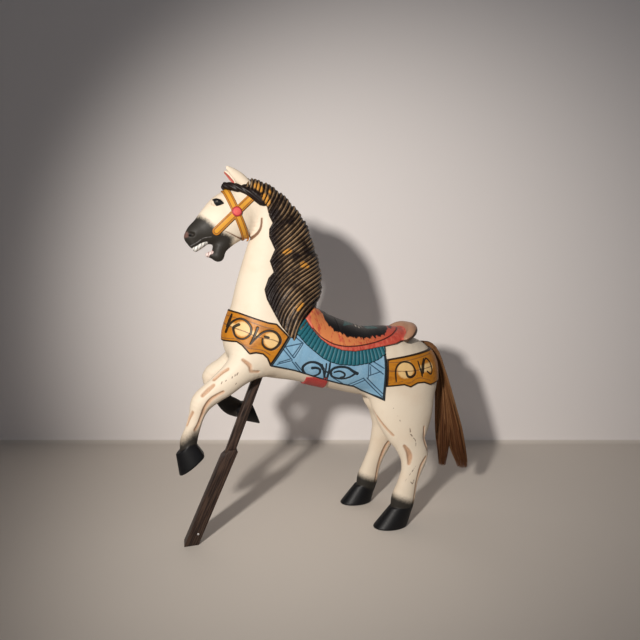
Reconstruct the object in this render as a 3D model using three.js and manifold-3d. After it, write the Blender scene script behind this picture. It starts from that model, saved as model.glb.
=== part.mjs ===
// A carved and painted wooden carousel horse that rears on its hind hooves and a wooden prop.
// Millimetres, +Z up. The head points to -X, and the near (left) side of the horse faces -Y.

import * as THREE from "three";
import { mergeVertices } from "three/addons/utils/BufferGeometryUtils.js";
import Module from "manifold-3d";

const wasm = await Module();
wasm.setup();

// Driving dimensions
const HEIGHT = 790; // hind soles to the tips of the ears
const STRAP_THICKNESS = 3; // breast strap, rump strap and cinch, proud of the coat
const BLANKET_THICKNESS = 3.5;
const FRINGE_THICKNESS = 6.5;
const SADDLE_THICKNESS = 11;
const BRIDLE_THICKNESS = 2.5;
const BRIDLE_WIDTH = 16;
const ROSETTE_DIAMETER = 21;
const FRINGE_PLEAT = 15; // pitch of the pleats
const MANE_THICKNESS = 8; // where its front edge lies on the neck
const LOCK_PITCH = 17; // pitch of the carved locks of the mane
const LOCK_DEPTH = 4.5;
const TAIL_ROOT_DIAMETER = 15; // the bound end of the fibre in its hole
const TAIL_ROOT_DEPTH = 26;
const ROD_WIDTH = 20; // upper bar of the prop, a square section
const ROD_CHAMFER = 3;
const ROD_IN_BELLY = 34;
const ROD_IN_FOOT = 30;
const FOOT_WIDTH = 27; // lower leg of the prop, seen from the side
const FOOT_THICKNESS = 30; // and along Y
const FOOT_LENGTH = 198; // height of its shoulder over the ground
const FOOT_CHAMFER = 5; // at the back of the shoulder, and twice and three times this at its front
const FIT_GAP = 0.3; // between pieces that are let into each other
const TAIL_CLEARANCE = 1.6; // between the hanging fibre and the rump
const CELL = 4.2; // grid that the carved forms are sampled on
const HORSE_TRIANGLES = 8000;
const TAIL_TRIANGLES = 1000;

// The figure keeps its pose and proportions: its stations were drawn at this height and are shares of it.
const DRAWN_HEIGHT = 790;
const share = HEIGHT / DRAWN_HEIGHT;
const sized = (rows) => rows.map((row) => row.map((value) => value * share));

// Two forms run into each other with a soft fillet. Its reach is given as drawn, like the stations.
function blend(a, b, drawnReach) {
  const reach = drawnReach * share;
  const near = Math.max(reach - Math.abs(a - b), 0) / reach;
  return Math.min(a, b) - (near * near * reach) / 4;
}

// What two forms have in common, with a rounded edge
function common(a, b, drawnReach) {
  return -blend(-a, -b, drawnReach);
}

// A smooth line through rows of values, with some steps between each two of them.
function smoothed(rows, steps) {
  const line = [];
  for (let i = 0; i + 1 < rows.length; i++) {
    const before = rows[Math.max(i - 1, 0)];
    const after = rows[Math.min(i + 2, rows.length - 1)];
    for (let step = 0; step < steps; step++) {
      const t = step / steps;
      line.push(rows[i].map((from, k) => catmull(before[k], from, rows[i + 1][k], after[k], t)));
    }
  }
  line.push(rows[rows.length - 1]);
  return line;
}

function catmull(a, b, c, d, t) {
  const bend = t * (2 * a - 5 * b + 4 * c - d + t * (3 * b - a - 3 * c + d));
  return b + 0.5 * t * (c - a + bend);
}

// An oval body swept along stations [x, y, z, radius in the side view, radius along Y].
// It gives the distance from a point to its skin, negative inside.
const REACH = 50 * share; // past this a limb has no say in the blends
function limb(stations, steps = 4) {
  const rows = smoothed(sized(stations), steps);
  const links = rows.slice(1).map((end, i) => {
    const [x, y, z, flat, wide] = rows[i];
    const [dx, dy, dz, growFlat, growWide] = end.map((value, k) => value - rows[i][k]);
    return { x, y, z, flat, wide, dx, dy, dz, growFlat, growWide, square: dx * dx + dy * dy + dz * dz };
  });
  const radiusAlong = (row, k) => (k === 1 ? row[4] : row[3]);
  const [left, front, low] = [0, 1, 2].map((k) => {
    return Math.min(...rows.map((row) => row[k] - radiusAlong(row, k)));
  });
  const [right, back, high] = [0, 1, 2].map((k) => {
    return Math.max(...rows.map((row) => row[k] + radiusAlong(row, k)));
  });
  return (x, y, z) => {
    const away = Math.max(left - x, x - right, front - y, y - back, low - z, z - high);
    if (away > REACH) return away;
    let nearest = Infinity;
    for (const link of links) {
      const [px, py, pz] = [x - link.x, y - link.y, z - link.z];
      const t = Math.min(Math.max((px * link.dx + py * link.dy + pz * link.dz) / link.square, 0), 1);
      const flat = length(px - t * link.dx, pz - t * link.dz);
      const radiusFlat = link.flat + t * link.growFlat;
      const radiusWide = link.wide + t * link.growWide;
      nearest = Math.min(nearest, ovalDistance(flat, py - t * link.dy, radiusFlat, radiusWide));
    }
    return nearest;
  };
}

function length(x, y) {
  return Math.sqrt(x * x + y * y);
}

function ovalDistance(u, v, radiusU, radiusV) {
  const ratio = length(u / radiusU, v / radiusV);
  if (ratio < 0.05) return -Math.min(radiusU, radiusV);
  return (ratio * (ratio - 1)) / length(u / (radiusU * radiusU), v / (radiusV * radiusV));
}

// An outline in the side view: the distance from (x, z) to its edge, negative inside.
function outline(points) {
  const ring = sized(points);
  return (x, z) => {
    let nearest = Infinity;
    let inside = false;
    for (let i = 0, j = ring.length - 1; i < ring.length; j = i++) {
      const [ax, az] = ring[i];
      const [dx, dz] = [ring[j][0] - ax, ring[j][1] - az];
      const t = THREE.MathUtils.clamp(((x - ax) * dx + (z - az) * dz) / (dx * dx + dz * dz), 0, 1);
      nearest = Math.min(nearest, Math.hypot(x - ax - t * dx, z - az - t * dz));
      if (az > z !== ring[j][1] > z && x < (dx * (z - az)) / dz + ax) inside = !inside;
    }
    return inside ? -nearest : nearest;
  };
}

// A straight band in the side view, such as a strap, from one end to the other.
function band(from, to, width) {
  const [[ax, az], [bx, bz]] = sized([from, to]);
  const [dx, dz] = [bx - ax, bz - az];
  return (x, z) => {
    const t = THREE.MathUtils.clamp(((x - ax) * dx + (z - az) * dz) / (dx * dx + dz * dz), 0, 1);
    return Math.hypot(x - ax - t * dx, z - az - t * dz) - width / 2;
  };
}

// How far a layer stands proud of the coat: its thickness inside its outline, with a soft edge.
const EDGE_SLOPE = 3;
function proud(edge, thickness) {
  const rise = THREE.MathUtils.clamp(0.5 - edge / (EDGE_SLOPE + thickness), 0, 1);
  return thickness * rise * rise * (3 - 2 * rise);
}

// The trunk, with the neck, the head and the lower jaw. These forms are symmetric.
const barrel = limb([
  [-274, 0, 428, 61, 50],
  [-235, 0, 425, 72, 62],
  [-165, 0, 408, 76, 73],
  [-90, 0, 384, 73, 76],
  [-30, 0, 368, 73, 76],
  [40, 0, 362, 78, 78],
  [82, 0, 345, 79, 74],
]);
const neck = limb([
  [-238, 0, 450, 89, 60],
  [-236, 0, 500, 85, 56],
  [-226, 0, 550, 82, 49],
  [-222, 0, 600, 71, 43],
  [-226, 0, 650, 52, 37],
  [-236, 0, 695, 42, 33],
  [-260, 0, 724, 34, 29],
  [-285, 0, 738, 26, 26],
]);
const trunk = (x, y, z) => blend(barrel(x, y, z), neck(x, y, z), 44);
const head = limb([
  [-286, 0, 712, 42, 27],
  [-318, 0, 692, 52, 33],
  [-345, 0, 676, 43, 28],
  [-371, 0, 662, 30, 22],
  [-389, 0, 654, 22, 20],
  [-399, 0, 646, 17, 18],
]);
const jaw = limb([
  [-308, 0, 674, 28, 21],
  [-325, 0, 650, 20, 17],
  [-343, 0, 627, 15, 15],
  [-348, 0, 609, 13, 13],
]);
const upperLip = limb([
  [-382, 0, 642, 11, 15],
  [-396, 0, 634, 12, 15],
]);
const upperTeeth = limb([
  [-366, 0, 641, 5, 11],
  [-380, 0, 632, 7, 12],
  [-393, 0, 623, 7, 12],
]);
const lowerLip = limb([
  [-350, 0, 606, 9, 11],
  [-364, 0, 606, 7, 10],
]);

// Paired small forms of the head, given for the +Y side.
const ear = limb([
  [-284, 17, 750, 11, 9],
  [-302, 18, 766, 12, 8],
  [-316, 20, 777, 9, 6],
  [-327, 22, 785, 5, 4],
]);
const earHollow = limb([
  [-315, 16, 764, 5, 4],
  [-324, 18, 774, 5, 4],
  [-332, 20, 784, 3, 3],
]);
const forelock = limb([
  [-331, 8, 752, 8, 9],
  [-313, 20, 748, 9, 8],
  [-293, 27, 741, 7, 7],
  [-277, 30, 734, 10, 8],
  [-258, 31, 722, 12, 8],
]);
const eye = limb([
  [-357, 21, 714, 4, 4],
  [-349, 24, 716, 7, 5],
  [-341, 25, 714, 4, 4],
]);
const nostril = limb([
  [-407, 14, 652, 4, 4],
  [-399, 18, 650, 4, 4],
]);

// The legs, each from where it springs from the trunk down to the top of its hoof.
const nearForeleg = limb([
  [-268, -32, 405, 50, 30],
  [-300, -39, 380, 36, 28],
  [-320, -43, 364, 30, 25],
  [-343, -45, 345, 27, 22],
  [-366, -46, 329, 24, 20],
  [-388, -46, 311, 22, 20],
  [-399, -46, 285, 16, 15],
  [-408, -46, 257, 15, 14],
  [-416, -46, 233, 17, 16],
  [-418, -46, 216, 16, 16],
]);
const farForeleg = limb([
  [-268, 32, 405, 50, 30],
  [-300, 39, 385, 34, 28],
  [-330, 43, 364, 27, 23],
  [-362, 45, 344, 22, 20],
  [-350, 45, 312, 17, 15],
  [-334, 45, 285, 18, 15],
  [-321, 45, 274, 20, 16],
  [-308, 45, 267, 19, 15],
]);
const nearHindLeg = limb([
  [60, -40, 300, 80, 38],
  [62, -49, 262, 70, 33],
  [64, -56, 228, 55, 28],
  [68, -60, 198, 39, 24],
  [81, -63, 160, 34, 20],
  [75, -65, 126, 25, 17],
  [67, -66, 103, 23, 16],
  [60, -66, 80, 25, 18],
  [54, -66, 60, 28, 20],
  [50, -66, 42, 26, 19],
]);
const farHindLeg = limb([
  [64, 40, 300, 76, 38],
  [68, 49, 262, 58, 32],
  [66, 56, 228, 44, 27],
  [62, 60, 198, 33, 23],
  [56, 63, 160, 30, 20],
  [44, 65, 126, 24, 17],
  [34, 66, 103, 23, 16],
  [25, 66, 80, 24, 18],
  [19, 66, 60, 27, 20],
  [15, 66, 42, 25, 19],
]);

// A hoof: an oval that tapers from its flat sole up to the coronet. The sole's middle is [x, y, z], its
// normal into the hoof leans back by a turn about Y, and the coronet lies behind the sole by the lean.
const CORONET = 0.7; // its size beside the sole
const HEEL = 0.82; // where the heel is cut, as a share of half the sole's length
const HOOF_EDGE = 4; // its sole and heel have rounded edges
function hoof(place, turn, soleLength, soleWidth, height, lean) {
  const [x0, y0, z0] = sized([place])[0];
  const [halfLength, halfWidth, tall, back] = sized([[soleLength / 2, soleWidth / 2, height, lean]])[0];
  const [sin, cos] = [Math.sin(turn), Math.cos(turn)];
  return (x, y, z) => {
    const up = (x - x0) * sin + (z - z0) * cos;
    const rise = THREE.MathUtils.clamp(up / tall, 0, 1);
    const toHeel = (x - x0) * cos - (z - z0) * sin - back * rise;
    const size = 1 + (CORONET - 1) * rise;
    const round = ovalDistance(toHeel, y - y0, halfLength * size, halfWidth * size);
    const heel = toHeel - HEEL * halfLength * size;
    return Math.max(common(common(round, heel, HOOF_EDGE), -up, HOOF_EDGE), up - tall);
  };
}

const radians = THREE.MathUtils.degToRad;
const hooves = [
  hoof([22, -67, 0], 0, 84, 54, 44, 28),
  hoof([-12, 67, 0], 0, 84, 54, 44, 26),
  hoof([-408, -46, 182], radians(-37), 70, 50, 40, 12),
  hoof([-268, 45, 259], radians(-111), 66, 46, 38, 18),
];

// Saddle, blanket and straps
const cantle = limb([
  [58, -64, 426, 7, 7],
  [75, -52, 438, 11, 10],
  [86, -30, 444, 14, 13],
  [91, 0, 444, 15, 14],
  [86, 30, 444, 14, 13],
  [75, 52, 438, 11, 10],
  [58, 64, 426, 7, 7],
]);
const pommel = limb([
  [-164, -50, 462, 12, 12],
  [-152, -24, 477, 14, 14],
  [-150, 0, 482, 14, 14],
  [-152, 24, 477, 14, 14],
  [-164, 50, 462, 12, 12],
]);
const saddleEdge = outline([
  [-176, 478],
  [-162, 455],
  [-145, 434],
  [-127, 420],
  [-99, 409],
  [-70, 405],
  [-33, 408],
  [5, 413],
  [32, 417],
  [52, 424],
  [71, 432],
  [84, 444],
  [104, 450],
  [104, 500],
  [-100, 500],
  [-122, 492],
  [-150, 500],
]);
const fringeEdge = outline([
  [-199, 450],
  [-177, 424],
  [-160, 409],
  [-142, 394],
  [-125, 385],
  [-107, 379],
  [-71, 375],
  [-34, 379],
  [-15, 386],
  [3, 397],
  [3, 440],
  [-180, 490],
]);
const blanketEdge = outline([
  [-212, 442],
  [-251, 380],
  [-200, 367],
  [-145, 347],
  [-101, 333],
  [-66, 324],
  [-45, 312],
  [4, 290],
  [3, 440],
  [-180, 490],
]);
const breastStrapEdge = outline([
  [-370, 500],
  [-335, 498],
  [-311, 492],
  [-281, 481],
  [-254, 472],
  [-237, 469],
  [-212, 442],
  [-251, 380],
  [-258, 397],
  [-267, 406],
  [-281, 409],
  [-294, 407],
  [-308, 424],
  [-318, 431],
  [-370, 430],
]);
const rumpStrapEdge = outline([
  [5, 385],
  [66, 392],
  [180, 404],
  [180, 330],
  [112, 321],
  [94, 328],
  [77, 328],
  [60, 320],
  [44, 326],
  [5, 323],
]);
const cinchEdge = outline([
  [-172, 350],
  [-172, 290],
  [-122, 290],
  [-122, 350],
]);
const bridleBands = [
  band([-333, 745], [-291, 646], BRIDLE_WIDTH),
  band([-277, 731], [-352, 657], BRIDLE_WIDTH),
  band([-311, 697], [-311, 697.01], ROSETTE_DIAMETER),
];

// The mane lies on both sides of the neck. Its front edge is scalloped by the ends of the locks.
const maneBulk = limb([
  [-292, 0, 750, 20, 26],
  [-262, 0, 737, 28, 33],
  [-226, 0, 706, 37, 38],
  [-201, 0, 664, 47, 43],
  [-190, 0, 620, 52, 50],
  [-187, 0, 577, 62, 55],
  [-190, 0, 540, 67, 62],
  [-194, 0, 508, 52, 74],
  [-198, 0, 474, 32, 80],
  [-203, 0, 444, 10, 82],
]);
const maneEdge = outline([
  [-262, 725],
  [-249, 709],
  [-245, 691],
  [-238, 676],
  [-245, 664],
  [-246, 648],
  [-235, 621],
  [-246, 597],
  [-239, 574],
  [-250, 562],
  [-259, 538],
  [-255, 518],
  [-242, 491],
  [-228, 463],
  [-203, 432],
  [-169, 466],
  [-100, 535],
  [-100, 700],
  [-230, 800],
  [-300, 790],
  [-300, 745],
]);

// The locks run from the crest, an arc about a point in front of the neck, inwards and then downwards.
// This number is the same all along one lock, and grows by a millimetre for each one along the crest.
const CREST = { x: -338.5, z: 561.5, radius: 218, from: radians(75) };
const SWEEP_START = 130; // where along the crest the locks begin to sweep down
const SWEEP = 1.6e-4;
function lockNumber(x, z) {
  const [dx, dz] = [x / share - CREST.x, z / share - CREST.z];
  const along = CREST.radius * (CREST.from - Math.atan2(dz, dx)) - SWEEP_START;
  const inwards = Math.max(CREST.radius - Math.hypot(dx, dz), 0);
  if (along <= 0) return (along + SWEEP_START) * share;
  return (SWEEP_START + (2 * along) / (1 + Math.sqrt(1 + 4 * SWEEP * inwards * along))) * share;
}

function mane(x, y, z) {
  const neckAndHead = blend(trunk(x, y, z), head(x, y, z), 12);
  const hair = blend(maneBulk(x, y, z), neckAndHead - MANE_THICKNESS, 8);
  if (hair > LOCK_DEPTH * 2) return hair;
  const wave = Math.abs(Math.sin((Math.PI * lockNumber(x, z)) / LOCK_PITCH));
  return common(hair + LOCK_DEPTH * (1 - wave), maneEdge(x, z), 6);
}

// Long hollows that the carver cut between the muscles and tendons, each a thin limb taken away.
const hollows = [
  [
    [-334, -70, 352, 5, 5],
    [-362, -69, 331, 5, 5],
    [-378, -68, 318, 4, 4],
  ],
  [
    [-384, -63, 292, 4, 4],
    [-395, -63, 268, 4, 4],
    [-403, -63, 244, 4, 4],
  ],
  [
    [84, -90, 214, 6, 6],
    [92, -88, 186, 5, 5],
    [88, -87, 164, 5, 5],
  ],
  [
    [84, -85, 140, 4, 4],
    [75, -85, 112, 4, 4],
    [68, -86, 86, 4, 4],
  ],
  [
    [66, 89, 214, 6, 6],
    [68, 87, 186, 5, 5],
    [62, 86, 160, 5, 5],
  ],
  [
    [-258, -68, 372, 6, 6],
    [-272, -71, 352, 6, 6],
  ],
].map((stations) => limb(stations));

function coat(x, y, z) {
  const side = Math.abs(y);
  let form = blend(trunk(x, y, z), nearForeleg(x, y, z), 18);
  form = blend(form, farForeleg(x, y, z), 18);
  form = blend(form, nearHindLeg(x, y, z), 26);
  form = blend(form, farHindLeg(x, y, z), 26);
  let face = blend(head(x, y, z), jaw(x, y, z), 7);
  face = blend(face, upperLip(x, y, z), 5);
  face = blend(face, lowerLip(x, y, z), 4);
  face = blend(face, upperTeeth(x, y, z), 2);
  face = blend(face, eye(x, side, z), 3);
  face = Math.max(face, -nostril(x, side, z));
  form = blend(form, face, 12);
  form = blend(form, Math.max(ear(x, side, z), -earHollow(x, side, z)), 5);
  for (const hollow of hollows) form = Math.max(form, -hollow(x, y, z));
  return form;
}

function horseField(x, y, z) {
  const side = Math.abs(y);
  const skin = coat(x, y, z);
  let form = blend(blend(skin, mane(x, y, z), 4), forelock(x, side, z), 4);
  for (const each of hooves) form = blend(form, each(x, y, z), 4);
  const pleat = 1.5 * Math.abs(Math.sin((Math.PI * x) / FRINGE_PLEAT));
  if (Math.abs(skin) < 3 * SADDLE_THICKNESS) {
    const cover = Math.max(
      proud(fringeEdge(x, z), FRINGE_THICKNESS - pleat),
      proud(blanketEdge(x, z), BLANKET_THICKNESS),
      proud(breastStrapEdge(x, z), STRAP_THICKNESS),
      proud(rumpStrapEdge(x, z), STRAP_THICKNESS),
      proud(cinchEdge(x, z), STRAP_THICKNESS),
      proud(saddleEdge(x, z), SADDLE_THICKNESS),
      ...bridleBands.map((strap) => proud(strap(x, z), BRIDLE_THICKNESS)),
    );
    form = Math.min(form, skin - cover);
  }
  form = blend(blend(form, cantle(x, y, z), 8), pommel(x, y, z), 10);
  return Math.max(form, -z);
}

// The tail hangs in two tassels, with shallow flutes where the bundles of fibre part.
const TAIL_FLUTES = 9;
const TAIL_FLUTE_DEPTH = 2.2;
const TAIL_MIDDLE = 205 * share; // the flutes are spread about this upright line
const tailTassels = [
  [
    [122, 0, 410, 7, 7],
    [146, 0, 404, 13, 12],
    [163, 0, 382, 15, 15],
    [175, 0, 351, 16, 17],
    [184, 0, 310, 17, 18],
    [190, 2, 260, 19, 20],
    [194, 4, 210, 21, 22],
    [197, 5, 165, 20, 22],
    [196, 6, 120, 13, 16],
    [192, 6, 82, 6, 8],
  ],
  [
    [163, 0, 382, 15, 15],
    [179, 0, 342, 16, 17],
    [196, -1, 292, 18, 19],
    [209, -3, 240, 21, 21],
    [222, -4, 190, 23, 22],
    [231, -5, 140, 24, 21],
    [243, -6, 104, 19, 16],
    [248, -6, 82, 9, 9],
  ],
].map((stations) => limb(stations));

function tailField(x, y, z) {
  const form = blend(tailTassels[0](x, y, z), tailTassels[1](x, y, z), 8);
  if (Math.abs(form) > REACH) return form;
  const flute = Math.abs(Math.sin(0.5 * TAIL_FLUTES * Math.atan2(y, x - TAIL_MIDDLE)));
  const clear = TAIL_CLEARANCE + STRAP_THICKNESS - coat(x, y, z);
  return Math.max(form + TAIL_FLUTE_DEPTH * (1 - flute), clear);
}

// Sampling: the field is polygonized cell by cell, each cell cut into six tetrahedra. The grid is set so
// that the ground plane runs through the middle of a layer of cells, which keeps the soles flat.
function polygonize(field, low, high) {
  const start = low.map((value) => (Math.floor(value / CELL) - 1.5) * CELL);
  const count = high.map((value, k) => Math.ceil((value - start[k]) / CELL) + 3);
  const stride = [1, count[0], count[0] * count[1]];
  const samples = new Float32Array(count[0] * count[1] * count[2]).fill(NaN);
  const place = (index, k) => start[k] + (Math.floor(index / stride[k]) % count[k]) * CELL;
  const point = (index) => [place(index, 0), place(index, 1), place(index, 2)];
  const sample = (index) => {
    if (Number.isNaN(samples[index])) {
      const value = field(...point(index));
      samples[index] = Math.abs(value) < 1e-3 ? 1e-3 : value;
    }
    return samples[index];
  };

  const corners = [];
  const vertices = new Map();
  const positions = [];
  const triangles = [];
  const crossing = (a, b) => {
    const [lower, upper] = a < b ? [a, b] : [b, a];
    const key = lower * 8 + STEPS.indexOf(upper - lower);
    if (!vertices.has(key)) {
      const t = THREE.MathUtils.clamp(samples[lower] / (samples[lower] - samples[upper]), 0.04, 0.96);
      const from = point(lower);
      const to = point(upper);
      vertices.set(key, positions.length / 3);
      positions.push(...from.map((value, k) => value + t * (to[k] - value)));
    }
    return vertices.get(key);
  };
  const STEPS = [1, 2, 3, 4, 5, 6, 7].map((bits) => {
    return stride.reduce((sum, step, k) => sum + (bits >> k & 1) * step, 0);
  });
  const facet = (a, b, c, inner) => {
    const [ax, ay, az] = positions.slice(3 * a, 3 * a + 3);
    const u = [positions[3 * b] - ax, positions[3 * b + 1] - ay, positions[3 * b + 2] - az];
    const v = [positions[3 * c] - ax, positions[3 * c + 1] - ay, positions[3 * c + 2] - az];
    const [px, py, pz] = point(inner);
    const facing = (u[1] * v[2] - u[2] * v[1]) * (ax - px)
      + (u[2] * v[0] - u[0] * v[2]) * (ay - py)
      + (u[0] * v[1] - u[1] * v[0]) * (az - pz);
    triangles.push(facing > 0 ? [a, b, c] : [a, c, b]);
  };
  const orders = [[0, 1, 2], [0, 2, 1], [1, 0, 2], [1, 2, 0], [2, 0, 1], [2, 1, 0]];
  const cutCell = (index) => {
    for (const order of orders) {
      corners[0] = index;
      order.forEach((axis, i) => (corners[i + 1] = corners[i] + stride[axis]));
      const inner = corners.filter((corner) => sample(corner) < 0);
      const outer = corners.filter((corner) => sample(corner) >= 0);
      if (inner.length === 1) facet(...outer.map((corner) => crossing(inner[0], corner)), inner[0]);
      if (inner.length === 3) facet(...inner.map((corner) => crossing(corner, outer[0])), inner[0]);
      if (inner.length === 2) {
        const [a, b] = outer.map((corner) => crossing(inner[0], corner));
        const [c, d] = outer.map((corner) => crossing(inner[1], corner));
        facet(a, b, c, inner[0]);
        facet(b, c, d, inner[0]);
      }
    }
  };

  // Blocks of cells whose middle is far from the skin are passed over.
  const visit = (corner, size) => {
    const middle = corner.map((value, k) => start[k] + (value + size / 2) * CELL);
    if (Math.abs(field(...middle)) > size * CELL * 2) return;
    const half = size / 2;
    for (let part = 0; part < 8; part++) {
      const next = corner.map((value, k) => value + (part >> k & 1) * half);
      if (next.some((value, k) => value >= count[k] - 1)) continue;
      if (half === 1) cutCell(next.reduce((sum, value, k) => sum + value * stride[k], 0));
      else visit(next, half);
    }
  };
  const BLOCK = 16;
  for (let k = 0; k < count[2]; k += BLOCK) {
    for (let j = 0; j < count[1]; j += BLOCK) {
      for (let i = 0; i < count[0]; i += BLOCK) visit([i, j, k], BLOCK);
    }
  }
  return { positions, triangles };
}

// An edge that can't go yet, because a facet would turn over, is tried again at a higher cost.
const TRIES = 8;
const LATER = 0.5;

// Thinning: the edge whose loss changes the surface least is drawn together, again and again, with the
// squared distance to the planes of the first facets as the measure.
function thin({ positions, triangles }, wanted) {
  const count = positions.length / 3;
  const planes = new Float64Array(count * 10);
  const facetsOf = Array.from({ length: count }, () => []);
  const version = new Uint32Array(count);
  const alive = new Uint8Array(triangles.length).fill(1);
  const at = (v) => [positions[3 * v], positions[3 * v + 1], positions[3 * v + 2]];
  const normal = (a, b, c) => {
    const [ux, uy, uz] = [b[0] - a[0], b[1] - a[1], b[2] - a[2]];
    const [vx, vy, vz] = [c[0] - a[0], c[1] - a[1], c[2] - a[2]];
    return [uy * vz - uz * vy, uz * vx - ux * vz, ux * vy - uy * vx];
  };

  const roundness = (cross, points) => {
    const sides = points.map((point, k) => {
      const next = points[(k + 1) % 3];
      return (point[0] - next[0]) ** 2 + (point[1] - next[1]) ** 2 + (point[2] - next[2]) ** 2;
    });
    return Math.hypot(...cross) / Math.max(...sides);
  };

  triangles.forEach((corners, f) => {
    const points = corners.map(at);
    const [nx, ny, nz] = normal(...points);
    const area = Math.hypot(nx, ny, nz) || 1e-12;
    const plane = [nx / area, ny / area, nz / area];
    plane.push(-(plane[0] * points[0][0] + plane[1] * points[0][1] + plane[2] * points[0][2]));
    for (const corner of corners) {
      facetsOf[corner].push(f);
      let slot = corner * 10;
      for (let i = 0; i < 4; i++) {
        for (let j = i; j < 4; j++) planes[slot++] += plane[i] * plane[j] * area;
      }
    }
  });

  const q = new Float64Array(10);
  const merge = (a, b) => {
    for (let i = 0; i < 10; i++) q[i] = planes[a * 10 + i] + planes[b * 10 + i];
  };
  const error = ([x, y, z]) => q[0] * x * x + q[4] * y * y + q[7] * z * z + q[9]
    + 2 * (q[1] * x * y + q[2] * x * z + q[5] * y * z + q[3] * x + q[6] * y + q[8] * z);
  const meeting = (from, to) => {
    const minor = [q[4] * q[7] - q[5] * q[5], q[2] * q[5] - q[1] * q[7], q[1] * q[5] - q[2] * q[4]];
    const det = q[0] * minor[0] + q[1] * minor[1] + q[2] * minor[2];
    const middle = from.map((value, k) => (value + to[k]) / 2);
    const span = Math.hypot(...from.map((value, k) => value - to[k]));
    const best = [middle, from, to].reduce((a, b) => (error(b) < error(a) ? b : a));
    if (Math.abs(det) < 1e-6 * (q[0] + q[4] + q[7]) ** 3) return best;
    const solved = [
      -(minor[0] * q[3] + minor[1] * q[6] + minor[2] * q[8]) / det,
      -(minor[1] * q[3] + (q[0] * q[7] - q[2] * q[2]) * q[6] + (q[1] * q[2] - q[0] * q[5]) * q[8]) / det,
      -(minor[2] * q[3] + (q[1] * q[2] - q[0] * q[5]) * q[6] + (q[0] * q[4] - q[1] * q[1]) * q[8]) / det,
    ];
    return Math.hypot(...solved.map((value, k) => value - middle[k])) < span ? solved : best;
  };

  const heap = [];
  const swap = (i, j) => ([heap[i], heap[j]] = [heap[j], heap[i]]);
  const push = (item) => {
    let i = heap.push(item) - 1;
    while (i > 0 && heap[i].cost < heap[(i - 1) >> 1].cost) {
      swap(i, (i - 1) >> 1);
      i = (i - 1) >> 1;
    }
  };
  const pop = () => {
    const top = heap[0];
    const last = heap.pop();
    if (heap.length === 0) return top;
    heap[0] = last;
    for (let i = 0, child = 1; child < heap.length; i = child, child = 2 * i + 1) {
      if (child + 1 < heap.length && heap[child + 1].cost < heap[child].cost) child++;
      if (heap[i].cost <= heap[child].cost) break;
      swap(i, child);
    }
    return top;
  };
  const offer = (a, b) => {
    merge(a, b);
    const to = meeting(at(a), at(b));
    push({ cost: error(to), a, b, to, stamp: version[a] + version[b], tries: 0 });
  };
  const neighbours = (v) => {
    const found = new Set();
    for (const f of facetsOf[v]) {
      for (const other of triangles[f]) if (other !== v) found.add(other);
    }
    return found;
  };
  const keepsShape = (v, gone, to) => {
    for (const f of facetsOf[v]) {
      if (triangles[f].includes(gone)) continue;
      const before = triangles[f].map(at);
      const after = triangles[f].map((corner, k) => (corner === v ? to : before[k]));
      const old = normal(...before);
      const now = normal(...after);
      const turned = old[0] * now[0] + old[1] * now[1] + old[2] * now[2];
      const fullness = roundness(now, after);
      const was = roundness(old, before);
      if (fullness < 0.05 && fullness < was) return false;
      if (was > 0.05 && turned < 0.1 * Math.hypot(...old) * Math.hypot(...now)) return false;
    }
    return true;
  };

  for (let v = 0; v < count; v++) {
    for (const other of neighbours(v)) if (v < other) offer(v, other);
  }
  let left = triangles.length;
  while (left > wanted && heap.length > 0) {
    const edge = pop();
    const { a, b, to, stamp } = edge;
    if (version[a] + version[b] !== stamp || facetsOf[a].length === 0 || facetsOf[b].length === 0) continue;
    if (facetsOf[a].length + facetsOf[b].length < 7) continue;
    const aroundA = neighbours(a);
    const shared = [...neighbours(b)].filter((v) => aroundA.has(v));
    if (!aroundA.has(b) || shared.length !== 2) continue;
    if (!keepsShape(a, b, to) || !keepsShape(b, a, to)) {
      if (edge.tries < TRIES) push({ ...edge, cost: 2 * edge.cost + LATER, tries: edge.tries + 1 });
      continue;
    }
    for (const f of facetsOf[b]) {
      if (triangles[f].includes(a)) {
        alive[f] = 0;
        left--;
        for (const corner of triangles[f]) facetsOf[corner] = facetsOf[corner].filter((each) => each !== f);
      } else {
        triangles[f] = triangles[f].map((corner) => (corner === b ? a : corner));
        facetsOf[a].push(f);
      }
    }
    facetsOf[b] = [];
    merge(a, b);
    planes.set(q, a * 10);
    to.forEach((value, k) => (positions[3 * a + k] = value));
    version[a]++;
    version[b]++;
    for (const other of neighbours(a)) offer(a, other);
  }

  const renumbered = new Map();
  const kept = [];
  const facets = triangles.filter((_, f) => alive[f]).map((corners) => corners.map((v) => {
    if (!renumbered.has(v)) {
      renumbered.set(v, kept.length / 3);
      kept.push(...at(v).map((value, k) => (k === 2 && Math.abs(value) < 0.05 ? 0 : value)));
    }
    return renumbered.get(v);
  }));
  return { positions: kept, triangles: facets };
}

// Solids for joining and cutting, and back to a geometry
function solidOf({ positions, triangles }) {
  const mesh = new wasm.Mesh({
    numProp: 3,
    vertProperties: new Float32Array(positions),
    triVerts: new Uint32Array(triangles.flat()),
  });
  return new wasm.Manifold(mesh);
}

function solidFrom(geometry, matrix) {
  const bare = geometry.clone();
  bare.deleteAttribute("normal");
  bare.deleteAttribute("uv");
  const closed = mergeVertices(bare, 1e-4).applyMatrix4(matrix);
  return solidOf({ positions: closed.attributes.position.array, triangles: Array.from(closed.index.array) });
}

function geometryOf(solid) {
  const mesh = solid.getMesh();
  const geometry = new THREE.BufferGeometry();
  geometry.setAttribute("position", new THREE.BufferAttribute(mesh.vertProperties, 3));
  geometry.setIndex(new THREE.BufferAttribute(mesh.triVerts, 1));
  geometry.computeVertexNormals();
  return geometry;
}

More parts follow.
